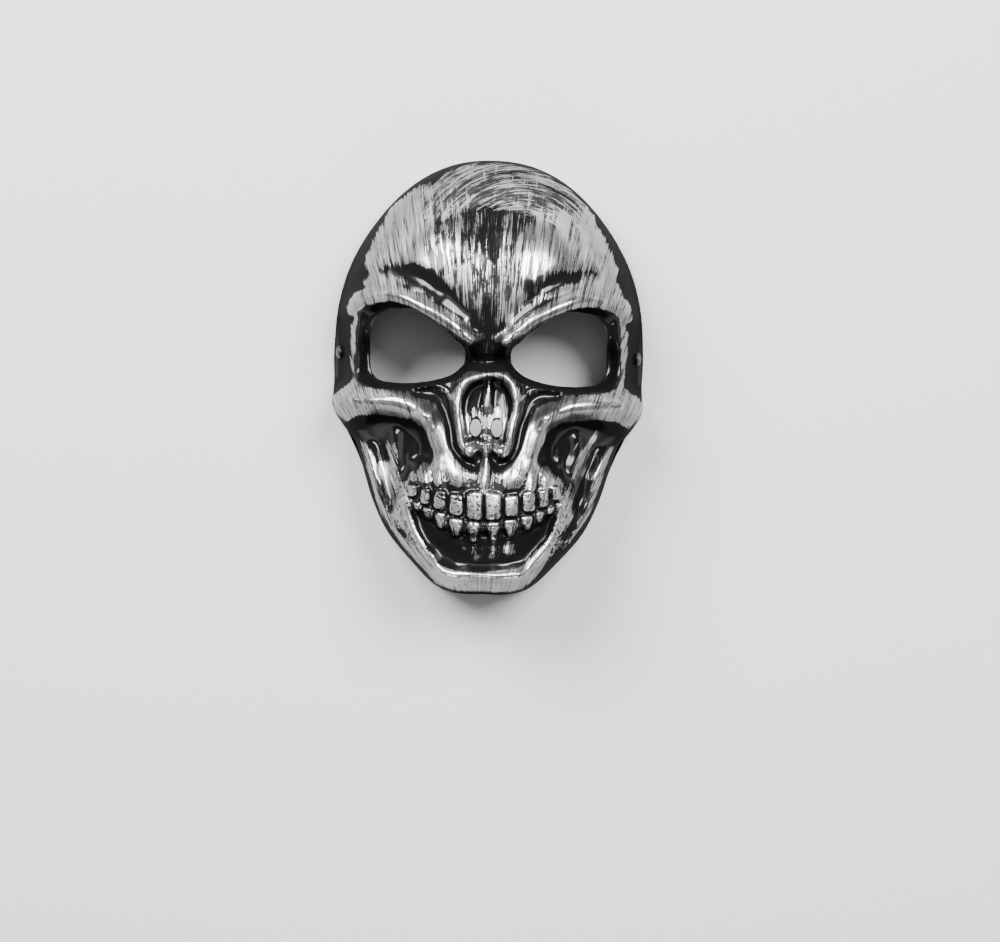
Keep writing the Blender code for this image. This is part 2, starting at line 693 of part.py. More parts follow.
def make_shell(front, inside, material, cutters):
    """Outer and inner skins joined round the skirt, thinned out where the form is plain, then cut."""
    side = GRID_CELLS + 1
    outer = skin(rim_line()[:-1], front)
    inner = skin(inset_rim_line(WALL), inside)
    index = np.arange(side * side).reshape(side, side)
    quads = np.dstack([index[:-1, :-1], index[:-1, 1:], index[1:, 1:], index[1:, :-1]]).reshape(-1, 4)
    loop = np.concatenate([index[0, :-1], index[:-1, -1], index[-1, :0:-1], index[:0:-1, 0]])
    after = np.roll(loop, -1)
    ring = np.column_stack([after, loop, loop + side * side, after + side * side])
    faces = [*quads, *(quads[:, ::-1] + side * side), *ring]
    mesh = mesh_from("shell", [*outer.reshape(-1, 3), *inner.reshape(-1, 3)], faces)
    shell = new_object("shell", mesh, material)
    thin = shell.modifiers.new("thin_out", "DECIMATE")
    thin.decimate_type = "COLLAPSE"
    thin.ratio = KEPT_SHARE
    for cutter in cutters:
        cut(shell, cutter)
    return shell


def make_openings():
    """What is cut out of the shell from the front: all that lies below the rim, eye holes and nostrils."""
    top = 2 * FACE_DEPTH
    wide, tall = MASK_WIDTH, MASK_HEIGHT
    square = [(-wide, -tall), (wide, -tall), (wide, tall), (-wide, tall)]
    cutters = [prism("below_rim", square, -2 * SKIRT, 0.0)]
    nostril = place(NOSTRIL)
    for side, word in ((-1, "left"), (1, "right")):
        eye = [(side * x, y) for x, y in place(closed_curve(EYE_HOLE, EYE_HOLE_STEPS))[:-1]]
        cutters.append(prism(f"eye_hole_{word}", eye, SKIRT, top))
        oval = circle(side * nostril[0], nostril[1], NOSTRIL_WIDTH, NOSTRIL_HEIGHT, NOSTRIL_SIDES)
        cutters.append(prism(f"nostril_{word}", oval, SKIRT, top))
    return cutters


def make_rivet_holes(seat):
    """A hole through both the wall and the strap at each temple."""
    hole = RIVET_SHANK_DIAMETER + 2 * CLEARANCE
    outline = circle(0, 0, hole, hole, RIVET_SIDES)
    cutters = []
    for side, word in ((-1, "left"), (1, "right")):
        cutter = prism(f"rivet_hole_{word}", outline, -RIVET_HOLE_REACH, RIVET_HOLE_REACH, axis="X")
        at_temple(cutter, seat, side)
        cutters.append(cutter)
    return cutters


def main():
    for obj in list(bpy.data.objects):
        bpy.data.objects.remove(obj, do_unlink=True)
    plastic = plain_material("silvered_black_plastic", (0.42, 0.42, 0.43), 0.6, 0.35)
    elastic = plain_material("black_elastic", (0.02, 0.02, 0.022), 0.0, 0.85)
    metal = plain_material("blackened_metal", (0.06, 0.06, 0.065), 1.0, 0.4)

    front = outer_map()
    inside = inner_map(front)
    seat = temple_seat(front, inside)
    rivet_holes = make_rivet_holes(seat)
    make_shell(front, inside, plastic, [*make_openings(), *rivet_holes])
    make_strap(elastic, rivet_holes, seat)
    for side, word in ((-1, "left"), (1, "right")):
        make_rivet(f"rivet_{word}", seat, side, metal)


main()
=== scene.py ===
"""The looks of the skull mask: a gloss black moulded shell dry-brushed with silver, its strap and rivets.

The form is worked out from the same tables as the solid shell, on a finer net, so it fills the same box to
within half a millimetre. Places on the face are shares: across, from the middle line (0) to the widest point
(1), and up, from the chin (0) to the crown (1).
"""
from collections import namedtuple

import bpy
import numpy as np
from mathutils import Matrix, Vector


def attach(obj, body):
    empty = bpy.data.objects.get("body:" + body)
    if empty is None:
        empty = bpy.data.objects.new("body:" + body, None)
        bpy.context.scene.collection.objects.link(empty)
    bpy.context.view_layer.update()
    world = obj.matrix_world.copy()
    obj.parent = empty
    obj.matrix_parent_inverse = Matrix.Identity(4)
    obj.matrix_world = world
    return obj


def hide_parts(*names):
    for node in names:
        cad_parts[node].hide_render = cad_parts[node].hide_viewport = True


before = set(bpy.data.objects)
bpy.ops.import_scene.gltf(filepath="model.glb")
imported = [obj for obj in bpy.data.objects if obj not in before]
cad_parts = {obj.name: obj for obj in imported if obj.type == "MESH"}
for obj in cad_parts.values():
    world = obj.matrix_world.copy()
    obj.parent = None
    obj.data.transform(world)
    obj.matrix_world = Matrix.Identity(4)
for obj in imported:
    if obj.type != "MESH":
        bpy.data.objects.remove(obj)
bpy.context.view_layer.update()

# Sizes of the mask, in metres
MASK_WIDTH = 0.158
MASK_HEIGHT = 0.220
FACE_DEPTH = 0.076
RELIEF = 0.010
WALL = 0.0015
CLEARANCE = 0.0003

NOSTRIL_WIDTH = 0.0054
NOSTRIL_HEIGHT = 0.0084

STRAP_WIDTH = 0.007
STRAP_THICKNESS = 0.001
STRAP_SAG = 0.055
STRAP_FOLD_RADIUS = 0.002
STRAP_END_LENGTH = 0.005

RIVET_SHANK_DIAMETER = 0.003
RIVET_HEAD_DIAMETER = 0.0065
RIVET_HEAD_HEIGHT = 0.0012
RIVET_RISE = 0.0105

MAP_STEP = 0.0005
MAP_MARGIN = 4 * WALL
SKIRT = 0.003

HALF_WIDTH = MASK_WIDTH / 2
FACE_SIZE = np.array([HALF_WIDTH, MASK_HEIGHT])
MIDDLE_UP = 0.5
CENTRE_UP = 0.47
RIVET_UP = 0.548

# Outline of the rim
Rim = namedtuple("Rim", "across up")
RIM = (
    Rim(0.000, 1.000),
    Rim(0.260, 0.987),
    Rim(0.500, 0.942),
    Rim(0.720, 0.862),
    Rim(0.885, 0.765),
    Rim(0.970, 0.665),
    Rim(0.995, 0.560),
    Rim(0.990, 0.480),
    Rim(0.995, 0.425),
    Rim(0.925, 0.382),
    Rim(0.845, 0.345),
    Rim(0.790, 0.285),
    Rim(0.722, 0.210),
    Rim(0.625, 0.140),
    Rim(0.470, 0.075),
    Rim(0.310, 0.020),
    Rim(0.160, 0.001),
    Rim(0.000, 0.000),
)

# The smooth form under the relief, level by level: its depth on the middle line as a share of FACE_DEPTH,
# how far it has bowed back at a given share of the half width, and how squarely it turns down to the rim.
Section = namedtuple("Section", "up depth bow bow_across squareness")
SECTIONS = (
    Section(0.00, 0.84, 0.34, 0.62, 16.0),
    Section(0.06, 0.90, 0.36, 0.66, 15.0),
    Section(0.14, 0.88, 0.42, 0.72, 14.0),
    Section(0.22, 0.90, 0.46, 0.80, 12.0),
    Section(0.33, 0.90, 0.42, 0.92, 8.0),
    Section(0.43, 0.85, 0.32, 1.00, 5.5),
    Section(0.53, 0.82, 0.28, 1.00, 4.6),
    Section(0.60, 0.92, 0.28, 1.00, 4.2),
    Section(0.70, 1.00, 0.26, 1.00, 3.8),
    Section(0.80, 1.02, 0.22, 1.00, 3.4),
    Section(0.90, 1.00, 0.18, 1.00, 3.0),
    Section(1.00, 0.95, 0.16, 1.00, 2.8),
)
DEEPEST_BOW = 0.8
WALL_FADE = 0.30

# Broad swells and hollows: middle, half extents, rise as a share of RELIEF, and how flat the top is.
Swell = namedtuple("Swell", "across up half_across half_up rise flatness")
SWELLS = {
    "forehead_boss": Swell(0.40, 0.790, 0.340, 0.127, 0.22, 2),
    "forehead_furrow": Swell(0.00, 0.760, 0.130, 0.160, -0.16, 2),
    "brow_notch": Swell(0.00, 0.590, 0.036, 0.045, -0.14, 2),
    "brow_end": Swell(0.085, 0.566, 0.062, 0.019, 0.34, 2),
    "jaws": Swell(0.00, 0.205, 0.460, 0.090, 0.55, 4),
    "nose": Swell(0.00, 0.420, 0.220, 0.085, 0.30, 4),
    "chin": Swell(0.00, 0.033, 0.300, 0.030, 0.45, 4),
    "inner_lower_root": Swell(0.060, 0.111, 0.034, 0.015, 0.12, 2),
    "second_lower_root": Swell(0.150, 0.119, 0.034, 0.013, 0.11, 2),
    "third_lower_root": Swell(0.245, 0.133, 0.036, 0.013, 0.08, 2),
}

# How unevenly the form was sculpted: the length of each ripple, how far it moves the relief sideways, and
# how far it lifts the surface, in metres.
Ripple = namedtuple("Ripple", "length sideways lift")
RIPPLES = (Ripple(0.031, 0.0006, 0.0), Ripple(0.017, 0.0004, 0.00010), Ripple(0.0075, 0.0, 0.00007))
RIPPLE_TURNS = (0.4, 1.3, 2.2)
SWERVE, SWERVE_RATE, CROSS_RATE = 1.7, 0.61, 0.83

# Raised rolls and pressed grooves. Each follows a path of (across, up); its half breadth is a share of the
# half width and its rise a share of RELIEF, both from the path's start to its end.
Roll = namedtuple("Roll", "path breadth rise")
ROLLS = {
    "temple_line": Roll(
        [(0.84, 0.665), (0.775, 0.73), (0.745, 0.80), (0.68, 0.865), (0.55, 0.915)],
        (0.10, 0.12),
        (0.40, 0.10),
    ),
    "temple": Roll(
        [(0.96, 0.50), (0.95, 0.58), (0.92, 0.68), (0.875, 0.76), (0.78, 0.84)],
        (0.17, 0.14),
        (-1.2, -0.7),
    ),
    "brow_valley": Roll(
        [(0.78, 0.703), (0.62, 0.715), (0.46, 0.703), (0.32, 0.672), (0.20, 0.632)],
        (0.085, 0.06),
        (-0.26, -0.10),
    ),
    "brow_bulge": Roll(
        [(0.88, 0.665), (0.70, 0.686), (0.48, 0.674), (0.31, 0.640), (0.17, 0.598)],
        (0.08, 0.06),
        (0.22, 0.25),
    ),
    "brow_roll": Roll(
        [
            (0.89, 0.640), (0.83, 0.656), (0.72, 0.662), (0.58, 0.659), (0.45, 0.644), (0.32, 0.616),
            (0.20, 0.585), (0.11, 0.564),
        ],
        (0.052, 0.055),
        (0.45, 0.70),
    ),
    "socket_side": Roll(
        [(0.83, 0.64), (0.835, 0.60), (0.825, 0.55), (0.83, 0.50), (0.87, 0.45)],
        (0.055, 0.08),
        (0.30, 0.45),
    ),
    "cheekbone": Roll(
        [(0.945, 0.430), (0.83, 0.434), (0.69, 0.434), (0.56, 0.428), (0.45, 0.418), (0.37, 0.402)],
        (0.125, 0.070),
        (1.15, 0.55),
    ),
    "pillar": Roll(
        [(0.37, 0.402), (0.315, 0.379), (0.280, 0.348), (0.24, 0.317), (0.17, 0.28)],
        (0.070, 0.090),
        (0.50, 0.25),
    ),
    "socket_floor": Roll(
        [(0.44, 0.464), (0.33, 0.468), (0.25, 0.458), (0.225, 0.44)],
        (0.018, 0.018),
        (0.10, 0.14),
    ),
    "nose_groove": Roll(
        [
            (0.42, 0.452), (0.34, 0.451), (0.275, 0.433), (0.238, 0.404), (0.215, 0.372), (0.19, 0.341),
            (0.14, 0.310), (0.08, 0.293),
        ],
        (0.034, 0.030),
        (-0.20, -0.35),
    ),
    "nose_ring": Roll(
        [
            (0.040, 0.338), (0.070, 0.325), (0.112, 0.321), (0.146, 0.341), (0.163, 0.376), (0.182, 0.41),
            (0.182, 0.44), (0.160, 0.468), (0.118, 0.485), (0.06, 0.493), (0.0, 0.495),
        ],
        (0.040, 0.046),
        (0.42, 0.55),
    ),
    "septum": Roll([(0.0, 0.478), (0.0, 0.425)], (0.020, 0.034), (0.40, 0.25)),
    "spine": Roll([(0.0, 0.352), (0.0, 0.30), (0.0, 0.240)], (0.034, 0.028), (0.40, 0.14)),
    "nostril_sill": Roll([(0.092, 0.342), (0.040, 0.358), (0.0, 0.366)], (0.022, 0.024), (0.25, 0.30)),
    "spine_pit": Roll([(0.062, 0.315), (0.105, 0.300)], (0.050, 0.040), (-0.28, -0.10)),
    "outer_root": Roll([(0.455, 0.255), (0.455, 0.300), (0.44, 0.335)], (0.038, 0.025), (0.20, 0.06)),
    "middle_root": Roll([(0.375, 0.250), (0.385, 0.290), (0.37, 0.325)], (0.038, 0.028), (0.22, 0.08)),
    "inner_root": Roll([(0.280, 0.245), (0.290, 0.275), (0.28, 0.30)], (0.036, 0.030), (0.16, 0.06)),
    "jaw_edge": Roll(
        [
            (0.88, 0.385), (0.79, 0.335), (0.715, 0.27), (0.655, 0.205), (0.58, 0.150), (0.47, 0.095),
            (0.36, 0.052), (0.22, 0.030),
        ],
        (0.060, 0.075),
        (0.30, 0.30),
    ),
    "jaw_ridge": Roll(
        [(0.570, 0.36), (0.560, 0.30), (0.53, 0.24), (0.48, 0.175), (0.38, 0.110), (0.25, 0.062)],
        (0.050, 0.065),
        (0.25, 0.35),
    ),
    "jaw_valley": Roll(
        [(0.665, 0.34), (0.635, 0.27), (0.585, 0.20), (0.50, 0.140)],
        (0.035, 0.030),
        (-0.16, -0.08),
    ),
}
ROLL_REACH = 1.55

# Areas pressed in behind an outline: how deep and how soft their edge is, as shares of RELIEF.
Area = namedtuple("Area", "outline depth edge")
AREAS = {
    "cheek_hollow": Area(
        [
            (0.88, 0.375), (0.70, 0.398), (0.50, 0.388), (0.395, 0.360), (0.350, 0.315), (0.42, 0.285),
            (0.485, 0.262), (0.52, 0.24), (0.575, 0.20), (0.62, 0.215), (0.67, 0.275), (0.74, 0.33),
        ],
        1.15,
        1.1,
    ),
    "nose_cavity": Area(
        [
            (-0.10, 0.480), (0.05, 0.479), (0.105, 0.468), (0.148, 0.440), (0.148, 0.410), (0.132, 0.376),
            (0.112, 0.345), (0.06, 0.350), (-0.10, 0.350),
        ],
        0.75,
        0.25,
    ),
    "gum": Area(
        [
            (-0.20, 0.145), (0.10, 0.150), (0.25, 0.160), (0.36, 0.180), (0.43, 0.190), (0.41, 0.150),
            (0.31, 0.100), (0.20, 0.072), (-0.20, 0.066),
        ],
        0.45,
        0.6,
    ),
}

# The eye holes, and the sockets that slope down to them
EYE_HOLE = [
    (0.141, 0.542), (0.155, 0.518), (0.235, 0.494), (0.36, 0.481), (0.48, 0.476), (0.60, 0.477),
    (0.69, 0.485), (0.735, 0.508), (0.742, 0.545), (0.735, 0.592), (0.69, 0.626), (0.60, 0.638),
    (0.49, 0.636), (0.40, 0.624), (0.30, 0.600), (0.20, 0.570), (0.155, 0.557),
]
SOCKET = [
    (-0.10, 0.543), (-0.10, 0.512), (0.10, 0.506), (0.17, 0.488), (0.25, 0.474), (0.36, 0.466),
    (0.50, 0.462), (0.66, 0.464), (0.79, 0.474), (0.83, 0.50), (0.83, 0.55), (0.825, 0.60),
    (0.80, 0.632), (0.70, 0.647), (0.58, 0.646), (0.45, 0.631), (0.33, 0.603), (0.21, 0.573),
    (0.12, 0.554), (0.04, 0.548),
]
SOCKET_DEPTH = 1.30
SOCKET_DEPTH_UNDER_BROW = 0.70
BROW_START, BROW_FULL = 0.54, 0.60
SOCKET_REACH = 3.0
EYE_HOLE_STEPS = 6

NOSTRIL = Rim(0.065, 0.378)
NOSTRIL_SIDES = 40

# Teeth: middle, half breadth, top and bottom edges, rise as a share of RELIEF, narrowing towards the end
Tooth = namedtuple("Tooth", "across breadth top bottom rise taper")
TEETH = (
    Tooth(0.058, 0.056, 0.238, 0.176, 0.32, 0.10),
    Tooth(0.170, 0.050, 0.232, 0.184, 0.30, 0.12),
    Tooth(0.272, 0.044, 0.237, 0.195, 0.29, 0.12),
    Tooth(0.362, 0.036, 0.243, 0.206, 0.28, 0.12),
    Tooth(0.440, 0.028, 0.252, 0.224, 0.26, 0.12),
    Tooth(0.062, 0.047, 0.174, 0.128, 0.30, 0.42),
    Tooth(0.166, 0.046, 0.180, 0.137, 0.29, 0.42),
    Tooth(0.262, 0.041, 0.190, 0.153, 0.27, 0.42),
    Tooth(0.342, 0.033, 0.200, 0.171, 0.26, 0.40),
    Tooth(0.408, 0.026, 0.212, 0.190, 0.24, 0.40),
)
TOOTH_EDGE = 0.20
TOOTH_CORNER = 0.60
TOOTH_BARREL = 0.50
MOUTH_LINE = [(-0.10, 0.176), (0.06, 0.1755), (0.17, 0.1815), (0.27, 0.192), (0.36, 0.2035), (0.46, 0.220)]
MOUTH_BREADTH = 0.08
MOUTH_DEPTH = 0.10


def place(shares):
    """Points in the plane of the rim, in metres, from (across, up) shares."""
    return (np.asarray(shares, float) - [0.0, MIDDLE_UP]) * FACE_SIZE


def up_share(y):
    """How far up the face a place lies, from the chin (0) to the crown (1)."""
    return y / MASK_HEIGHT + MIDDLE_UP


def open_curve(points, steps=8):
    """A smooth curve through the points, from the first to the last."""
    p = np.asarray(points, float)
    p = np.vstack([2 * p[0] - p[1], p, 2 * p[-1] - p[-2]])
    t = np.linspace(0, 1, steps, endpoint=False)[:, None]
    spans = [
        0.5 * (2 * b + (c - a) * t + (2 * a - 5 * b + 4 * c - d) * t**2 + (3 * b - a - 3 * c + d) * t**3)
        for a, b, c, d in zip(p[:-3], p[1:-2], p[2:-1], p[3:])
    ]
    return np.vstack([*spans, p[-2:-1]])


def closed_curve(points, steps=8):
    """A smooth closed curve through the points; its last point repeats the first."""
    p = np.asarray(points, float)
    return open_curve(np.vstack([p[-1:], p, p[:2]]), steps)[steps:-steps]


def ease(t):
    """A smooth step from 0 to 1."""
    t = np.clip(t, 0, 1)
    return t * t * (3 - 2 * t)


def fade_in(value, fade):
    return ease((value - fade.start) / fade.width)


def within_reach(x, y, line, reach):
    """Which points lie within reach of the box round a line."""
    low = line.min(axis=0) - reach
    high = line.max(axis=0) + reach
    return (x > low[0]) & (x < high[0]) & (y > low[1]) & (y < high[1])


def distance_to(x, y, line):
    """Each point's distance to a line, and how far along the line its nearest place is, as a share."""
    steps = np.diff(line, axis=0)
    lengths = np.hypot(*steps.T)
    travelled = np.concatenate([[0.0], np.cumsum(lengths)])
    nearest = np.full(x.shape, np.inf)
    share = np.zeros(x.shape)
    for start, step, length, before in zip(line, steps, lengths, travelled):
        dx = x - start[0]
        dy = y - start[1]
        t = np.clip((dx * step[0] + dy * step[1]) / max(length**2, 1e-18), 0, 1)
        gap = np.hypot(dx - t * step[0], dy - t * step[1])
        closer = gap < nearest
        nearest = np.where(closer, gap, nearest)
        share = np.where(closer, (before + t * length) / travelled[-1], share)
    return nearest, share


def depth_inside(x, y, outline, reach):
    """How far inside an outline each point lies: negative outside it, and -reach further off."""
    line = place(closed_curve(outline))
    depth = np.full(x.shape, -reach)
    here = within_reach(x, y, line, reach)
    px, py = x[here], y[here]
    inside = np.zeros(px.shape, bool)
    for (ax, ay), (bx, by) in zip(line[:-1], line[1:]):
        if ay != by:
            inside ^= ((ay > py) != (by > py)) & (px < ax + (py - ay) * (bx - ax) / (by - ay))
    gap, _ = distance_to(px, py, line)
    depth[here] = np.where(inside, gap, -gap)
    return depth


def rim_line():
    """The whole outline of the rim, closed, in metres."""
    left = [Rim(-row.across, row.up) for row in reversed(RIM[1:-1])]
    return place(closed_curve([*RIM, *left]))


def inset_rim_line(inset):
    """The outline of the rim, moved in by a distance square to itself."""
    line = rim_line()[:-1]
    along = np.roll(line, -1, axis=0) - np.roll(line, 1, axis=0)
    inward = np.column_stack([along[:, 1], -along[:, 0]]) / np.hypot(*along.T)[:, None]
    return line + inset * inward


def polar(x, y):
    """Direction and distance of points from the centre of the face."""
    dy = y - place((0.0, CENTRE_UP))[1]
    return np.arctan2(dy, x), np.hypot(x, dy)


def reach_of_rim(line, angle):
    """Distance from the centre of the face to a rim line in each direction."""
    angles, distances = polar(line[:, 0], line[:, 1])
    return np.interp(angle, angles, distances, period=2 * np.pi)


def section(up, column):
    """One column of SECTIONS, read smoothly at each level."""
    line = open_curve([(row.up, getattr(row, column)) for row in SECTIONS])
    return np.interp(up, line[:, 0], line[:, 1])


def smooth_height(x, up, angle, distance):
    """Height over the rim of the form without its relief."""
    share = np.clip(distance / reach_of_rim(rim_line()[:-1], angle), 0, 1)
    bow = section(up, "bow") * (x / (HALF_WIDTH * section(up, "bow_across"))) ** 2
    turn = np.sqrt(1 - share ** section(up, "squareness"))
    return FACE_DEPTH * section(up, "depth") * (1 - np.minimum(bow, DEEPEST_BOW)) * turn


def roll_height(x, y, roll):
    line = place(open_curve(roll.path))
    height = np.zeros(x.shape)
    here = within_reach(x, y, line, ROLL_REACH * max(roll.breadth) * HALF_WIDTH)
    gap, share = distance_to(x[here], y[here], line)
    half = np.interp(share, (0, 1), roll.breadth) * HALF_WIDTH
    rise = np.interp(share, (0, 1), roll.rise) * RELIEF
    height[here] = rise * (0.5 + 0.5 * np.cos(np.pi * np.clip(gap / half / ROLL_REACH, 0, 1)))
    return height


def socket_height(x, y):
    """A bowl that slopes from the rim of the socket down to the eye hole."""
    reach = SOCKET_REACH * RELIEF
    to_hole = np.maximum(-depth_inside(x, y, EYE_HOLE, reach), 0)
    to_edge = np.maximum(depth_inside(x, y, SOCKET, reach), 0)
    slope = to_hole / np.maximum(to_hole + to_edge, 1e-9)
    under_brow = ease((up_share(y) - BROW_START) / (BROW_FULL - BROW_START))
    depth = SOCKET_DEPTH + (SOCKET_DEPTH_UNDER_BROW - SOCKET_DEPTH) * under_brow
    return -depth * RELIEF * (1 - ease(slope)) * (to_edge > 0)


def tooth_height(x, y, tooth):
    """A domed tooth with round corners, narrower at its free end."""
    centre = place((tooth.across, (tooth.top + tooth.bottom) / 2))
    half_height = (tooth.top - tooth.bottom) / 2 * MASK_HEIGHT
    along = (y - centre[1]) / half_height
    down = np.clip(0.5 - along / 2, 0, 1)
    half = tooth.breadth * HALF_WIDTH * (1 - tooth.taper * down)
    corner = TOOTH_CORNER * half
    gx = np.abs(x - centre[0]) - half + corner
    gy = np.abs(y - centre[1]) - half_height + corner
    outside = np.hypot(np.maximum(gx, 0), np.maximum(gy, 0)) + np.minimum(np.maximum(gx, gy), 0) - corner
    dome = np.sqrt(np.clip(1 - ((x - centre[0]) / half) ** 2, 0, 1))
    dome = dome * np.sqrt(np.clip(1 - 0.5 * along**2, 0, 1))
    barrel = 1 - TOOTH_BARREL + TOOTH_BARREL * dome
    return tooth.rise * RELIEF * ease(0.5 - outside / (TOOTH_EDGE * RELIEF)) * barrel


def teeth_height(x, y):
    height = np.max([tooth_height(x, y, tooth) for tooth in TEETH], axis=0)
    gap, _ = distance_to(x, y, place(open_curve(MOUTH_LINE)))
    return height - MOUTH_DEPTH * RELIEF * np.exp(-((gap / (MOUTH_BREADTH * RELIEF)) ** 2))


def relief_height(x, y):
    """How far the brows, cheekbones, nose, jaws and teeth stand out of the smooth form, or sink into it."""
    side = np.abs(x)
    across = side / HALF_WIDTH
    up = up_share(y)
    relief = np.zeros(x.shape)
    for swell in SWELLS.values():
        off = (np.abs(across - swell.across) / swell.half_across) ** swell.flatness
        off = off + (np.abs(up - swell.up) / swell.half_up) ** swell.flatness
        relief += swell.rise * RELIEF * np.exp(-off)
    for area in AREAS.values():
        edge = area.edge * RELIEF
        relief -= area.depth * RELIEF * ease(0.5 + depth_inside(side, y, area.outline, edge) / edge)
    for roll in ROLLS.values():
        relief += roll_height(side, y, roll)
    return relief + socket_height(side, y) + teeth_height(side, y)


def outer_height(x, y):
    """Height of the front of the mask over the rim; 0 outside the rim."""
    height = smooth_height(x, up_share(y), *polar(x, y))
    return height + relief_height(x, y) * ease(height / (WALL_FADE * FACE_DEPTH))


def ripple(x, y, length, turn):
    """A smooth uneven wave between -1 and 1 that differs on the two halves of the face."""
    u = (x * np.cos(turn) + y * np.sin(turn)) / length
    v = (y * np.cos(turn) - x * np.sin(turn)) / length
    swerve = SWERVE * np.sin(2 * np.pi * SWERVE_RATE * v)
    return 0.5 * (np.sin(2 * np.pi * u + swerve) + np.sin(2 * np.pi * CROSS_RATE * v + u))


def sculpted_height(x, y):
    """The front as it was sculpted: the two halves not quite alike, the surfaces a little uneven."""
    height = smooth_height(x, up_share(y), *polar(x, y))
    fade = ease(height / (WALL_FADE * FACE_DEPTH))
    dx, dy, lift = (np.zeros(x.shape) for _ in range(3))
    for wave in RIPPLES:
        across, along, out = (ripple(x, y, wave.length, turn) for turn in RIPPLE_TURNS)
        dx += wave.sideways * across
        dy += wave.sideways * along
        lift += wave.lift * out
    return height + (relief_height(x + dx, y + dy) + lift) * fade


def half_map(measure):
    """A height measured over one half of the face, on a fine square map; rows go up, columns across."""
    across = np.arange(0, HALF_WIDTH + MAP_MARGIN, MAP_STEP)
    up = np.arange(place((0, 0))[1] - MAP_MARGIN, place((0, 1))[1] + MAP_MARGIN, MAP_STEP)
    return measure(*np.meshgrid(across, up))


def widened(half, cells):
    """A map of one half with a margin all round, which shows the other half over the middle line."""
    wide = np.pad(half, cells, mode="edge")
    wide[:, :cells] = wide[:, 2 * cells : cells : -1]
    return wide


def inner_map(front):
    """Height of the inside: nowhere nearer to the front than the wall."""
    cells = int(WALL / MAP_STEP)
    wide = widened(front, cells)
    rows, columns = front.shape
    height = np.full(front.shape, np.inf)
    for i in range(-cells, cells + 1):
        for j in range(-cells, cells + 1):
            drop = WALL**2 - (i**2 + j**2) * MAP_STEP**2
            if drop >= 0:
                moved = wide[cells + i : cells + i + rows, cells + j : cells + j + columns]
                height = np.minimum(height, moved - np.sqrt(drop))
    return height


def read_map(height_map, x, y):
    """Height between the points of a map, on either half of the face."""
    column = np.abs(x) / MAP_STEP
    row = (y - place((0, 0))[1] + MAP_MARGIN) / MAP_STEP
    j = np.clip(column.astype(int), 0, height_map.shape[1] - 2)
    i = np.clip(row.astype(int), 0, height_map.shape[0] - 2)
    s, t = column - j, row - i
    low = height_map[i, j] * (1 - s) + height_map[i, j + 1] * s
    high = height_map[i + 1, j] * (1 - s) + height_map[i + 1, j + 1] * s
    return low * (1 - t) + high * t


# Where the brush went, in three families of strokes: nearly upright ones, arcs over the crown and strokes
# along the jaw. Outlines are measured on the picture, in its pixels; each one changes how thickly the silver
# lies (0 bare black, 1 covered), with an edge that is soft over a share of RELIEF.
PICTURE_CHIN, PICTURE_HALF_WIDTH, PICTURE_HEIGHT = 600, 163, 454

# The face's middle line in the picture: its place at one level, and how far it leans for each pixel down
PICTURE_MIDDLE, PICTURE_LEVEL, PICTURE_LEAN = 487, 400, 0.025

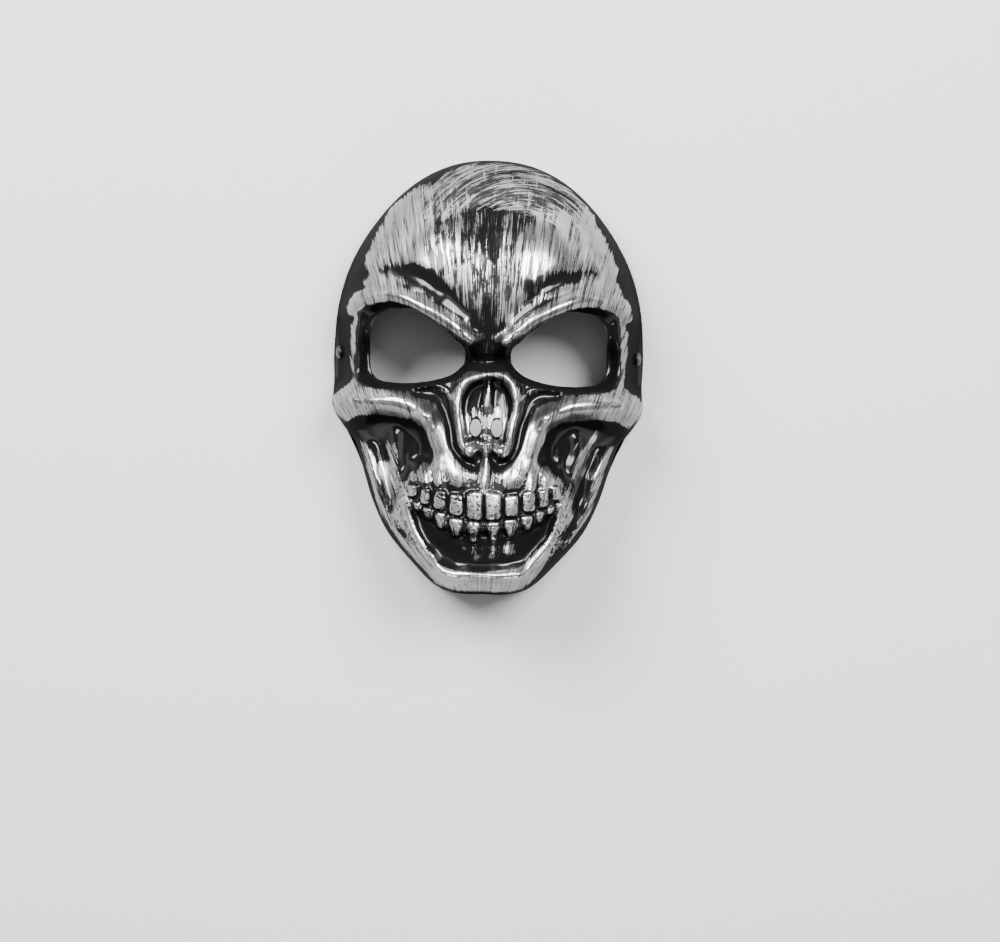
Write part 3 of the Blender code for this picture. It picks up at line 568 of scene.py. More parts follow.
Brushed = namedtuple("Brushed", "outline change edge")
BARE_OVER_TEETH = [
    (411, 483), (440, 487), (468, 491), (470, 499), (455, 502), (440, 500), (427, 494), (413, 490),
]
# Painted shadow over the left brow: inside this outline the silver is taken off, so the black plastic stands
# in for shade
BROW_PAINTED_SHADOW = [(406, 272), (418, 268), (448, 290), (450, 302), (428, 292)]
UPRIGHT = (
    Brushed([(372, 284), (366, 240), (382, 206), (405, 186), (428, 182), (430, 215), (428, 250), (424, 280),
             (400, 284)], 0.58, 0.8),
    Brushed([(526, 277), (520, 244), (530, 222), (560, 206), (594, 210), (612, 240), (624, 285), (630, 312),
             (600, 304), (578, 278), (548, 268)], 0.58, 0.8),
    Brushed([(434, 205), (430, 280), (452, 322), (478, 340), (500, 340), (520, 312), (520, 270), (514, 230),
             (500, 212)], 0.26, 0.8),
    Brushed([(486, 262), (512, 268), (510, 312), (498, 340), (484, 338), (482, 300)], 0.20, 0.6),
    Brushed([(348, 300), (358, 280), (392, 272), (402, 284), (398, 296), (370, 292)], 0.50, 0.6),
    Brushed([(582, 272), (622, 276), (634, 300), (612, 300), (584, 298)], 0.75, 0.6),
    Brushed([(396, 281), (440, 279), (450, 300), (474, 324), (464, 337), (440, 314), (418, 300)], 0.28, 0.5),
    Brushed([(508, 305), (545, 286), (584, 282), (580, 299), (548, 301), (520, 315), (507, 327)], 0.85, 0.5),
    Brushed([(344, 306), (370, 290), (400, 290), (432, 303), (484, 337), (476, 346), (440, 327), (400, 304),
             (362, 308)], 0.50, 0.4),
    Brushed([(492, 339), (540, 307), (575, 294), (615, 290), (628, 304), (585, 306), (545, 319),
             (503, 346)], 0.50, 0.4),
    Brushed([(346, 304), (360, 304), (367, 340), (364, 377), (350, 384), (356, 345)], 0.30, 0.5),
    Brushed([(610, 302), (634, 298), (630, 340), (626, 368), (644, 390), (608, 390), (614, 350)], 0.50, 0.5),
    Brushed([(626, 300), (648, 310), (652, 360), (636, 372), (626, 340)], 0.30, 0.6),
    Brushed([(324, 330), (342, 312), (350, 330), (342, 372), (326, 370)], 0.22, 0.6),
    Brushed([(320, 402), (343, 387), (380, 391), (408, 402), (440, 400), (450, 415), (440, 426), (400, 424),
             (358, 421), (328, 416)], 0.50, 0.5),
    Brushed([(533, 405), (560, 400), (600, 391), (640, 387), (652, 404), (640, 419), (600, 423), (560, 426),
             (530, 426), (518, 413)], 0.50, 0.5),
    Brushed([(404, 418), (440, 411), (441, 440), (452, 465), (470, 492), (440, 493), (428, 470),
             (418, 445)], 0.26, 0.6),
    Brushed([(530, 414), (562, 418), (548, 440), (544, 470), (548, 490), (505, 492), (514, 465),
             (520, 440)], 0.22, 0.6),
    Brushed([(446, 466), (470, 471), (484, 480), (505, 466), (525, 462), (536, 484), (500, 494), (480, 496),
             (455, 491)], 0.24, 0.6),
    Brushed([(398, 450), (426, 448), (436, 490), (402, 486)], 0.45, 0.7),
    Brushed([(540, 448), (566, 440), (570, 480), (545, 488)], 0.30, 0.7),
    Brushed([(468, 408), (504, 408), (512, 440), (508, 454), (490, 447), (481, 434), (472, 449), (462, 454),
             (461, 430)], 1.35, 0.4),
    Brushed([(478, 434), (490, 434), (496, 460), (490, 500), (479, 500), (481, 460)], 0.40, 0.4),
    Brushed(BARE_OVER_TEETH, -2.0, 0.3),
    Brushed([(362, 455), (404, 470), (412, 520), (446, 566), (430, 600), (395, 570), (368, 520)], -0.60, 0.8),
    Brushed([(560, 455), (604, 424), (608, 440), (594, 490), (574, 540), (545, 584), (530, 566),
             (552, 520)], -0.50, 0.8),
    Brushed([(511, 491), (523, 490), (523, 500), (512, 501)], -0.70, 0.3),
    Brushed([(464, 542), (481, 542), (481, 558), (466, 558)], 1.3, 0.3),
    Brushed([(483, 542), (499, 542), (499, 558), (484, 558)], 1.3, 0.3),
    Brushed([(500, 539), (515, 538), (515, 552), (501, 553)], 1.3, 0.3),
    Brushed([(480, 577), (500, 556), (530, 545), (545, 550), (535, 574), (500, 582)], 1.05, 0.7),
    Brushed([(425, 262), (440, 262), (450, 300), (436, 305)], -0.25, 0.6),
    # Painted shadow over the left brow
    Brushed(BROW_PAINTED_SHADOW, -1.5, 0.3),
    Brushed([(476, 353), (487, 345), (498, 352), (487, 350)], 2.3, 0.1),
    Brushed([(483, 378), (491, 378), (492, 400), (482, 400)], 1.4, 0.2),
    Brushed([(430, 566), (460, 573), (490, 577), (520, 572), (545, 556), (541, 590), (520, 601),
             (440, 601)], 0.62, 0.7),
    Brushed([(495, 560), (520, 545), (545, 535), (556, 545), (540, 565), (505, 575)], 0.60, 0.9),
)
JAW = (
    # Painted shadow over the left brow
    Brushed(BROW_PAINTED_SHADOW, -0.8, 0.3),
    Brushed([(362, 455), (378, 460), (386, 510), (402, 545), (432, 575), (442, 596), (412, 577), (383, 545),
             (367, 510)], 0.62, 0.5),
    Brushed([(384, 440), (402, 470), (410, 512), (426, 545), (444, 562), (468, 578), (440, 592), (424, 575),
             (402, 550), (388, 515), (378, 475)], 0.75, 0.6),
    Brushed(BARE_OVER_TEETH, -2.0, 0.3),
    Brushed([(604, 424), (608, 440), (594, 490), (574, 540), (542, 584), (522, 566), (545, 530), (560, 490),
             (580, 445)], 0.46, 0.9),
    Brushed([(596, 428), (602, 432), (588, 462), (578, 492), (572, 490), (582, 456)], 0.90, 0.3),
    Brushed([(360, 430), (385, 428), (400, 470), (380, 480), (364, 460)], 0.30, 0.9),
    Brushed([(378, 466), (396, 474), (406, 520), (396, 528), (384, 500)], 0.95, 0.5),
    Brushed([(566, 470), (590, 466), (584, 500), (566, 528), (556, 515)], 0.55, 0.6),
    Brushed([(575, 440), (595, 436), (590, 470), (570, 478)], 0.35, 0.6),
)
ARCS = (
    Brushed([(412, 205), (440, 163), (485, 146), (540, 150), (592, 180), (614, 220), (606, 250), (588, 240),
             (560, 230), (530, 222), (505, 214), (470, 214), (432, 228)], 1.12, 0.7),
)

# Places that stayed black on both halves of the face: outline in shares, loss and edge
BARE = (
    Brushed([(0.026, 0.378), (0.038, 0.396), (0.065, 0.402), (0.092, 0.396), (0.104, 0.378), (0.092, 0.360),
             (0.065, 0.354), (0.038, 0.360)], 1.3, 0.1),
    Brushed(SOCKET, 2.0, 0.30),
    Brushed(AREAS["cheek_hollow"].outline, 0.55, 0.9),
    Brushed(AREAS["gum"].outline, 1.1, 0.5),
    Brushed([(-0.10, 0.475), (0.05, 0.474), (0.11, 0.462), (0.14, 0.435), (0.12, 0.405),
             (-0.10, 0.400)], 0.5, 0.4),
    Brushed([(-0.20, 0.568), (0.04, 0.568), (0.10, 0.55), (0.14, 0.52), (0.10, 0.505),
             (-0.20, 0.503)], 2.0, 0.3),
    Brushed([(0.16, 0.478), (0.30, 0.474), (0.55, 0.470), (0.80, 0.472), (0.78, 0.459), (0.50, 0.452),
             (0.25, 0.458)], 0.9, 0.5),
    Brushed([(0.86, 0.655), (0.82, 0.72), (0.78, 0.80), (0.71, 0.88), (0.62, 0.95), (1.20, 1.05),
             (1.25, 0.60), (1.15, 0.46), (0.96, 0.47), (0.925, 0.53), (0.915, 0.60)], 0.80, 0.7),
)

BASE_SILVER = {"upright": 0.06, "jaw": -0.40, "arcs": -0.75}
RELIEF_WEIGHT = {"upright": 1.0, "jaw": 0.55, "arcs": 0.60}
MOST_SILVER = 0.72
RIDGE_SHARE, RIDGE_WIDTH, RIDGE_HEIGHT = 0.50, 0.0025, 0.00045
FORM_SHARE, FORM_WIDTH, FORM_HEIGHT = 0.30, 0.0080, 0.0016
TOOTH_SILVER = 0.60
FLECKS_ALL_OVER, FLECKS_AT_MOUTH = 0.5, 2.2
RIM_LOSS, RIM_BAND = 0.9, 0.006
STEEP_LOSS = 1.0

# Where an effect sets in, and over how much it rises; a negative width means that it sets in downwards.
# On a tooth it goes by the tooth's height, on steep sides by how far they face forward, else by place.
Fade = namedtuple("Fade", "start width")
ON_TOOTH = Fade(0.45, 0.45)
FORWARD_FOR_SILVER = Fade(0.05, 0.32)
# How far a side faces forward before its silver shows no painted shade and its black keeps its full coat
# gloss
FORWARD_FOR_FULL_LIGHT = Fade(0.45, 0.45)
CHEEK_UP = (Fade(0.36, 0.02), Fade(0.49, -0.02))
MOUTH_UP = (Fade(0.08, 0.04), Fade(0.31, -0.05))
MOUTH_ACROSS = Fade(0.62, -0.1)

# What the strokes run round. Each family reads its own layers of the marks, so that no two are alike.
STROKE_FOCUS = (0.0, -0.22)
CROWN_CENTRE = (0.20, 0.749)
JAW_LINE = [
    (0.98, 0.42), (0.86, 0.35), (0.76, 0.28), (0.69, 0.21), (0.61, 0.145), (0.50, 0.085), (0.37, 0.035),
    (0.20, 0.010), (0.0, 0.005),
]
STROKE_RADIUS = 0.220
CROWN_RADIUS = 0.040
JAW_LAYER, JAW_LAYERS_APART = 0.2, 0.1
CROWN_LAYER = 0.5

# The nets, and the zones whose faces are halved: the fine relief of the front, and on the inside the steep
# walls of the sockets, so that the eye holes get even edges
FRONT_COLUMNS, FRONT_ROWS = 150, 184
INSIDE_COLUMNS, INSIDE_ROWS = 72, 88
Zone = namedtuple("Zone", "inner outer low high")
RELIEF_ZONE = Zone(0.0, 0.90, 0.03, 0.725)
SOCKET_ZONE = Zone(0.08, 0.86, 0.44, 0.68)
FLAT_PART, FLAT_REACH = 0.86, 0.95

STRAP_STEPS = 420
STRAP_CORDS, STRAP_CORD_STEPS = 6, 6
STRAP_RIB = 0.00014
RIVET_SIDES = 48
RIVET_EDGE_SHARE = 0.3
RIVET_DOME_STEP = 0.16
RIVET_DOME = (0.16, 0.32, 0.48, 0.64, 0.80)
HIDDEN = 0.0002
HOLE_SIDES = 32
HOLE_REACH = 0.016

# How many places are read along a wall, and along an end of the strap
WALL_READINGS = 2000
STRAP_READINGS = 12

# Edges that turn by less than this look smooth
SMOOTH_BELOW = np.radians(65)
SMOOTH_BELOW_ON_RIVET = np.radians(40)


def deselect_all():
    for obj in bpy.context.selected_objects:
        obj.select_set(False)


def only_select(obj):
    deselect_all()
    obj.select_set(True)
    bpy.context.view_layer.objects.active = obj


def points_of(obj):
    values = np.empty(len(obj.data.vertices) * 3)
    obj.data.vertices.foreach_get("co", values)
    return values.reshape(-1, 3)


def put_points(obj, points):
    obj.data.vertices.foreach_set("co", np.asarray(points, float).ravel())
    obj.data.update()


def apply_all(obj):
    only_select(obj)
    for modifier in list(obj.modifiers):
        bpy.ops.object.modifier_apply(modifier=modifier.name)


def add_grid(name, columns, rows):
    deselect_all()
    bpy.ops.mesh.primitive_grid_add(x_subdivisions=columns, y_subdivisions=rows, size=2)
    grid = bpy.context.object
    grid.name = name
    return grid


def spread_to_rim(grid, rim):
    """Draws a square grid out to the rim, with rings that crowd where the wall turns down."""
    u, v = points_of(grid)[:, :2].T
    x = u * np.sqrt(1 - v**2 / 2)
    y = v * np.sqrt(1 - u**2 / 2)
    share = np.minimum(np.hypot(x, y), 1)
    angle = np.arctan2(y * MASK_HEIGHT / 2, x * HALF_WIDTH)
    wall = 1 - (1 - FLAT_REACH) * ((1 - share) / (1 - FLAT_PART)) ** 2
    reach = np.where(share < FLAT_PART, share * FLAT_REACH / FLAT_PART, wall) * reach_of_rim(rim, angle)
    x = reach * np.cos(angle)
    y = reach * np.sin(angle) + place((0.0, CENTRE_UP))[1]
    put_points(grid, np.column_stack([x, y, np.zeros(x.shape)]))


def edit_faces(obj, wanted):
    """Opens an object for editing with the wanted faces selected."""
    only_select(obj)
    bpy.context.tool_settings.mesh_select_mode = (False, False, True)
    bpy.ops.object.mode_set(mode="EDIT")
    bpy.ops.mesh.select_all(action="DESELECT")
    bpy.ops.object.mode_set(mode="OBJECT")
    obj.data.polygons.foreach_set("select", wanted)
    bpy.ops.object.mode_set(mode="EDIT")


def end_edit():
    bpy.ops.object.mode_set(mode="OBJECT")


def halve_faces(grid, zone):
    """Halves the faces of a flat net that lie in a zone of either half of the face."""
    centres = np.empty(len(grid.data.polygons) * 3)
    grid.data.polygons.foreach_get("center", centres)
    x, y = centres.reshape(-1, 3)[:, :2].T
    across, up = np.abs(x) / HALF_WIDTH, up_share(y)
    edit_faces(grid, (across >= zone.inner) & (across < zone.outer) & (up > zone.low) & (up < zone.high))
    bpy.ops.mesh.subdivide(number_cuts=1)
    end_edit()


def edge_points(grid):
    """Which points of an open net lie on its edge."""
    uses = np.zeros(len(grid.data.edges), int)
    loops = np.empty(len(grid.data.loops), int)
    grid.data.loops.foreach_get("edge_index", loops)
    np.add.at(uses, loops, 1)
    ends = np.empty(len(grid.data.edges) * 2, int)
    grid.data.edges.foreach_get("vertices", ends)
    on_edge = np.zeros(len(grid.data.vertices), bool)
    on_edge[ends.reshape(-1, 2)[uses == 1].ravel()] = True
    return on_edge


def punch(name, outline, bottom, top):
    """A cutter with the given outline, from bottom to top."""
    deselect_all()
    bpy.ops.mesh.primitive_circle_add(vertices=len(outline), fill_type="NGON")
    cutter = bpy.context.object
    cutter.name = name
    put_points(cutter, [(x, y, bottom) for x, y in outline])
    edit_faces(cutter, [True])
    bpy.ops.mesh.extrude_region_move(TRANSFORM_OT_translate={"value": (0, 0, top - bottom)})
    bpy.ops.mesh.select_all(action="SELECT")
    bpy.ops.mesh.normals_make_consistent(inside=False)
    end_edit()
    return cutter


def join(objects, name):
    only_select(objects[0])
    for obj in objects:
        obj.select_set(True)
    bpy.ops.object.join()
    objects[0].name = name
    return objects[0]


def turn_over(skin):
    edit_faces(skin, np.ones(len(skin.data.polygons), bool))
    bpy.ops.mesh.flip_normals()
    end_edit()


def bridge_edges(skins):
    """Closes the gap between the edges of two skins that are one object."""
    only_select(skins)
    bpy.ops.object.mode_set(mode="EDIT")
    bpy.ops.mesh.select_mode(type="EDGE")
    bpy.ops.mesh.select_all(action="DESELECT")
    bpy.ops.mesh.select_non_manifold(extend=False)
    bpy.ops.mesh.bridge_edge_loops()
    bpy.ops.mesh.select_all(action="SELECT")
    bpy.ops.mesh.normals_make_consistent(inside=False)
    end_edit()


def cut(obj, cutter):
    """Cuts one object with another, which is used up."""
    modifier = obj.modifiers.new("opening", "BOOLEAN")
    modifier.operation = "DIFFERENCE"
    modifier.solver = "EXACT"
    modifier.object = cutter
    apply_all(obj)
    bpy.data.objects.remove(cutter, do_unlink=True)


def smooth(obj, below):
    only_select(obj)
    bpy.ops.object.shade_smooth_by_angle(angle=below)


def oval(x, y, width, height, sides):
    turns = np.linspace(0, 2 * np.pi, sides, endpoint=False)
    return [(x + width / 2 * np.cos(t), y + height / 2 * np.sin(t)) for t in turns]


def make_shell(inside_map, seat):
    """The face: a front skin with the whole relief, an inner skin a wall further in, and the holes."""
    front = add_grid("moulded_shell", FRONT_COLUMNS, FRONT_ROWS)
    spread_to_rim(front, rim_line()[:-1])
    halve_faces(front, RELIEF_ZONE)
    points = points_of(front)
    points[:, 2] = np.maximum(sculpted_height(points[:, 0], points[:, 1]), 0)
    put_points(front, points)

    inside = add_grid("inner_skin", INSIDE_COLUMNS, INSIDE_ROWS)
    spread_to_rim(inside, inset_rim_line(WALL))
    halve_faces(inside, SOCKET_ZONE)
    on_edge = edge_points(inside)
    points = points_of(inside)
    points[:, 2] = np.maximum(read_map(inside_map, points[:, 0], points[:, 1]), 0)
    points[on_edge, 2] = 0
    put_points(inside, points)
    turn_over(inside)

    painted, bare = silvered_plastic(), bare_plastic()
    front.data.materials.append(painted)
    inside.data.materials.append(bare)
    shell = join([front, inside], "moulded_shell")
    bridge_edges(shell)

    cutters = []
    for side, word in ((-1, "left"), (1, "right")):
        eye = [(side * x, y) for x, y in place(closed_curve(EYE_HOLE, EYE_HOLE_STEPS))[:-1]]
        cutters.append(punch(f"eye_hole_{word}", eye, SKIRT, 2 * FACE_DEPTH))
        x, y = place(NOSTRIL)
        nostril = oval(side * x, y, NOSTRIL_WIDTH, NOSTRIL_HEIGHT, NOSTRIL_SIDES)
        cutters.append(punch(f"nostril_{word}", nostril, SKIRT, 2 * FACE_DEPTH))
        cutters.append(rivet_hole(seat, side))
    for cutter in cutters:
        cutter.data.materials.append(bare)
    cut(shell, join(cutters, "openings"))
    return shell


def wall_at(height_map, y, z):
    """How far from the middle line one side of the temple wall stands at a height over the rim."""
    x = np.linspace(0, HALF_WIDTH, WALL_READINGS)
    return x[read_map(height_map, x, np.full(x.shape, y)) > z].max()


# Where a rivet goes through the temple: the place on the outside, how far the wall leans in there, and how
# far out of that place its outer head and the near face of the strap lie, square to the wall.
Seat = namedtuple("Seat", "x y z lean head strap")


def temple_seat(front, inside):
    y, z = place((0.0, RIVET_UP))[1], RIVET_RISE
    head = RIVET_HEAD_DIAMETER / 2
    x = wall_at(front, y, z)
    lean = np.arctan2(wall_at(front, y, z - head) - wall_at(front, y, z + head), 2 * head)

    def out(height_map, dy, level):
        return (wall_at(height_map, y + dy, level) - x) * np.cos(lean) + (level - z) * np.sin(lean)

    footprint = (-head, 0, head)
    head_seat = max(out(front, dy, z + dz) for dy in footprint for dz in footprint)
    run = np.linspace(-STRAP_SAG / 2, STRAP_END_LENGTH, STRAP_READINGS)
    levels = (CLEARANCE, z / 2, z, z + STRAP_END_LENGTH)
    strap_seat = min(out(inside, dy, level) for dy in run for level in levels)
    return Seat(x, y, z, lean, head_seat + CLEARANCE, strap_seat - CLEARANCE)


class StrapFold:
    """Bends the flat strap down the temple and round onto the surface that the mask lies on."""

    def __init__(self, seat):
        lean = seat.lean
        self.out = np.array([np.cos(lean), np.sin(lean)])
        self.down = np.array([np.sin(lean), -np.cos(lean)])
        self.start = np.array([seat.x, seat.z]) + seat.strap * self.out
        self.outer_radius = STRAP_FOLD_RADIUS + STRAP_THICKNESS
        level = self.start[1] - np.sin(lean) * self.outer_radius
        self.drop = (level - self.outer_radius - CLEARANCE) / np.cos(lean)
        self.turn = np.pi / 2 + lean
        self.middle = self.start + self.drop * self.down - self.outer_radius * self.out
        self.flat_from = self.drop + STRAP_FOLD_RADIUS * self.turn
        self.half_span = self.flat_from + self.middle[0]

    def at(self, run, offset):
        """A place run along from the rivet and offset off the face that lies against the wall."""
        radius = self.outer_radius - offset
        if run < self.drop:
            return self.start + run * self.down - offset * self.out
        if run < self.flat_from:
            turn = (run - self.drop) / STRAP_FOLD_RADIUS
            return self.middle + radius * (np.cos(turn) * self.out + np.sin(turn) * self.down)
        return self.middle - np.array([run - self.flat_from, radius])


def at_temple(obj, seat, side):
    """Moves an object made along +X to a rivet's seat, pointing out of the wall, in its own mesh."""
    turn = Matrix.Rotation(-seat.lean if side > 0 else np.pi + seat.lean, 4, "Y")
    obj.data.transform(Matrix.Translation((side * seat.x, seat.y, seat.z)) @ turn)
    obj.data.update()


def add_drum(name, radius, low, high, sides):
    """A round bar along +X, its mesh in place."""
    deselect_all()
    bpy.ops.mesh.primitive_cylinder_add(vertices=sides, radius=radius, depth=high - low)
    drum = bpy.context.object
    drum.name = name
    drum.data.transform(Matrix.Translation(((low + high) / 2, 0, 0)) @ Matrix.Rotation(np.pi / 2, 4, "Y"))
    return drum


def rivet_hole(seat, side):
    hole = add_drum("rivet_hole", RIVET_SHANK_DIAMETER / 2 + CLEARANCE, -HOLE_REACH, HOLE_REACH, HOLE_SIDES)
    at_temple(hole, seat, side)
    return hole


def make_strap(seat):
    """The woven elastic, an arc when unfolded, its ends folded up against the temples."""
    fold = StrapFold(seat)
    radius = (fold.half_span**2 + STRAP_SAG**2) / (2 * STRAP_SAG)
    half_turn = np.arctan2(fold.half_span, radius - STRAP_SAG) + STRAP_END_LENGTH / radius
    strap = add_grid("woven_elastic_strap", STRAP_STEPS, STRAP_CORDS * STRAP_CORD_STEPS)
    share = points_of(strap)
    turns, edges = share[:, 0] * half_turn, share[:, 1]
    thinned = STRAP_RIB * (1 - np.abs(np.sin(np.pi * (edges + 1) / 2 * STRAP_CORDS)))
    reach = radius + edges * STRAP_WIDTH / 2
    sides = []
    for offsets in (thinned, STRAP_THICKNESS - thinned):
        across = reach * np.sin(turns)
        runs = fold.half_span - np.abs(across)
        bent = np.array([fold.at(run, offset) for run, offset in zip(runs, offsets)])
        x = np.sign(turns) * bent[:, 0]
        sides.append(np.column_stack([x, seat.y + radius - STRAP_SAG - reach * np.cos(turns), bent[:, 1]]))
    under = strap.copy()
    under.data = strap.data.copy()
    bpy.context.collection.objects.link(under)
    put_points(strap, sides[0])
    put_points(under, sides[1])
    weave = np.column_stack([turns * radius, reach - radius, 0 * reach])
    for band in (strap, under):
        store(band.data, "weave", "FLOAT_VECTOR", weave)
    turn_over(under)
    strap = join([strap, under], "woven_elastic_strap")
    bridge_edges(strap)
    cut(strap, join([rivet_hole(seat, side) for side in (-1, 1)], "eyelets"))
    strap.data.materials.clear()
    strap.data.materials.append(woven_elastic())
    return strap


def make_rivet(word, seat, side, metal):
    """A domed head outside, a shank through wall and strap, and a head inside."""
    inner_seat = seat.strap - STRAP_THICKNESS - CLEARANCE
    head = RIVET_HEAD_DIAMETER / 2
    heads = (
        (seat.head, seat.head + RIVET_HEAD_HEIGHT, 1),
        (inner_seat - RIVET_HEAD_HEIGHT, inner_seat, -1),
    )
    drums = []
    for low, high, outward in heads:
        drum = add_drum("head", head, low, high, RIVET_SIDES)
        points = points_of(drum)
        outer = (points[:, 0] - (low + high) / 2) * outward > 0
        points[outer, 0] -= outward * (1 - RIVET_EDGE_SHARE) * RIVET_HEAD_HEIGHT
        put_points(drum, points)
        faces = np.array([face.normal.x * outward > 0.9 for face in drum.data.polygons])
        edit_faces(drum, faces)
        before = 0.0
        for share in RIVET_DOME:
            rise = (1 - RIVET_EDGE_SHARE) * RIVET_HEAD_HEIGHT * (np.sqrt(1 - (1 - share) ** 2) - before)
            before = np.sqrt(1 - (1 - share) ** 2)
            bpy.ops.mesh.inset(thickness=head * RIVET_DOME_STEP, use_even_offset=False)
            bpy.ops.transform.translate(value=(outward * rise, 0, 0))
        end_edit()
        drums.append(drum)
    ends = inner_seat - HIDDEN, seat.head + HIDDEN
    drums.append(add_drum("shank", RIVET_SHANK_DIAMETER / 2, *ends, RIVET_SIDES))
    rivet = join(drums, f"temple_rivet_{word}")
    at_temple(rivet, seat, side)
    rivet.data.materials.append(metal)
    smooth(rivet, SMOOTH_BELOW_ON_RIVET)
    return rivet


def blurred(height, width):
    """A map of one half of the face, smoothed over a width."""
    cells = int(np.ceil(2 * width / MAP_STEP))
    weights = np.exp(-0.5 * (np.arange(-cells, cells + 1) * MAP_STEP / width) ** 2)
    weights = weights / weights.sum()
    wide = widened(height, cells)
    rows, columns = height.shape
    down = sum(w * wide[i : i + rows, :] for i, w in enumerate(weights))
    return sum(w * down[:, j : j + columns] for j, w in enumerate(weights))


def from_picture(points):
    """Shares of the face for places measured on the picture."""
    x, y = np.asarray(points, float).T
    middle = PICTURE_MIDDLE - PICTURE_LEAN * (y - PICTURE_LEVEL)
    return np.column_stack([(x - middle) / PICTURE_HALF_WIDTH, (PICTURE_CHIN - y) / PICTURE_HEIGHT])


def soft_inside(x, y, brushed, outline):
    edge = brushed.edge * RELIEF
    return brushed.change * ease(0.5 + depth_inside(x, y, outline, edge) / edge)


def relief_silver(x, y, facing, relief_map):
    """What the form does to the paint: most on what stands proud, least on steep sides and in sunk places."""
    side = np.abs(x)
    up = up_share(y)
    ridge = read_map(relief_map - blurred(relief_map, RIDGE_WIDTH), x, y)
    form = read_map(relief_map - blurred(relief_map, FORM_WIDTH), x, y)
    silver = RIDGE_SHARE * np.clip(ridge / RIDGE_HEIGHT, -1, 1)
    silver += FORM_SHARE * np.clip(form / FORM_HEIGHT, -1, 1)
    for bare in BARE:
        silver -= soft_inside(side, y, bare, bare.outline)
    teeth = np.max([tooth_height(side, y, tooth) / (tooth.rise * RELIEF) for tooth in TEETH], axis=0)
    silver += TOOTH_SILVER * fade_in(teeth, ON_TOOTH)
    angle, distance = polar(x, y)
    from_rim = reach_of_rim(rim_line()[:-1], angle) - distance
    cheek = fade_in(up, CHEEK_UP[0]) * fade_in(up, CHEEK_UP[1])
    silver -= RIM_LOSS * (1 - ease(from_rim / RIM_BAND)) * (1 - cheek)
    return silver - STEEP_LOSS * (1 - fade_in(facing, FORWARD_FOR_SILVER))


def seen_from(centre, x, y):
    """Turn from straight up, and distance, of places seen from a centre given in shares."""
    dx, dy = x - place(centre)[0], y - place(centre)[1]
    return np.arctan2(dx, dy), np.hypot(dx, dy)


def upright_paths(x, y):
    """Places across and along the strokes that fan out over the face, and their layer of the marks."""
    turn, distance = seen_from(STROKE_FOCUS, x, y)
    return np.column_stack([turn * STROKE_RADIUS, distance, 0 * x])


def jaw_paths(x, y):
    line = place(open_curve(JAW_LINE))
    gap, share = distance_to(np.abs(x), y, line)
    length = np.hypot(*np.diff(line, axis=0).T).sum()
    return np.column_stack([gap, share * length, JAW_LAYER + JAW_LAYERS_APART * np.sign(x)])


def crown_paths(x, y):
    turn, distance = seen_from(CROWN_CENTRE, x, y)
    return np.column_stack([distance, turn * CROWN_RADIUS, 0 * x + CROWN_LAYER])


def store(mesh, name, kind, values):
    attribute = mesh.attributes.new(name, kind, "POINT")
    key = "vector" if kind == "FLOAT_VECTOR" else "value"
    attribute.data.foreach_set(key, np.asarray(values, float).ravel())


def paint_shell(shell, relief_map):
    """Stores on each point, for each family of strokes, how thickly the silver lies and the way they run."""
    points = points_of(shell)
    normals = np.empty(points.size)
    shell.data.vertices.foreach_get("normal", normals)
    x, y = points[:, 0], points[:, 1]
    facing = normals.reshape(-1, 3)[:, 2]
    relief = relief_silver(x, y, facing, relief_map)
    # How steep each point is: it darkens the silver there as painted shade, and thins the coat gloss on the
    # black
    store(shell.data, "steep", "FLOAT", 1 - fade_in(facing, FORWARD_FOR_FULL_LIGHT))
    up = up_share(y)
    mouth = fade_in(up, MOUTH_UP[0]) * fade_in(up, MOUTH_UP[1])
    mouth = mouth * fade_in(np.abs(x) / HALF_WIDTH, MOUTH_ACROSS)
    store(shell.data, "flecked", "FLOAT", FLECKS_ALL_OVER + FLECKS_AT_MOUTH * mouth)
    families = {"upright": (UPRIGHT, upright_paths), "jaw": (JAW, jaw_paths), "arcs": (ARCS, crown_paths)}
    for name, (brushed, paths) in families.items():
        silver = BASE_SILVER[name] + RELIEF_WEIGHT[name] * relief
        for stroke in brushed:
            silver += soft_inside(x, y, stroke, from_picture(stroke.outline))
        store(shell.data, f"{name}_silver", "FLOAT", np.minimum(silver, MOST_SILVER))
        store(shell.data, f"{name}_strokes", "FLOAT_VECTOR", paths(x, y))


# Finishes


class Reading:
    """A socket whose value changes over the surface. Arithmetic on it adds Math nodes."""

    def __init__(self, finish, socket):
        self.finish = finish
        self.socket = socket

    def math(self, operation, other):
        return self.finish.node("ShaderNodeMath", {"operation": operation}, {0: self, 1: other}).out(0)

    def __add__(self, other):
        return self.math("ADD", other)

    def __sub__(self, other):
        return self.math("SUBTRACT", other)

    def __mul__(self, other):
        return self.math("MULTIPLY", other)

    def __rsub__(self, other):
        return (self * -1) + other

    def step(self, low, high):
        """Rises smoothly from 0 at low to 1 at high."""
        settings = {"interpolation_type": "SMOOTHSTEP"}
        inputs = {"Value": self, "From Min": low, "From Max": high}
        return self.finish.node("ShaderNodeMapRange", settings, inputs).out("Result")


class Part:
    """A node, whose outputs are read by name or number."""

    def __init__(self, finish, node):
        self.finish = finish
        self.made = node

    def out(self, key):
        return Reading(self.finish, self.made.outputs[key])


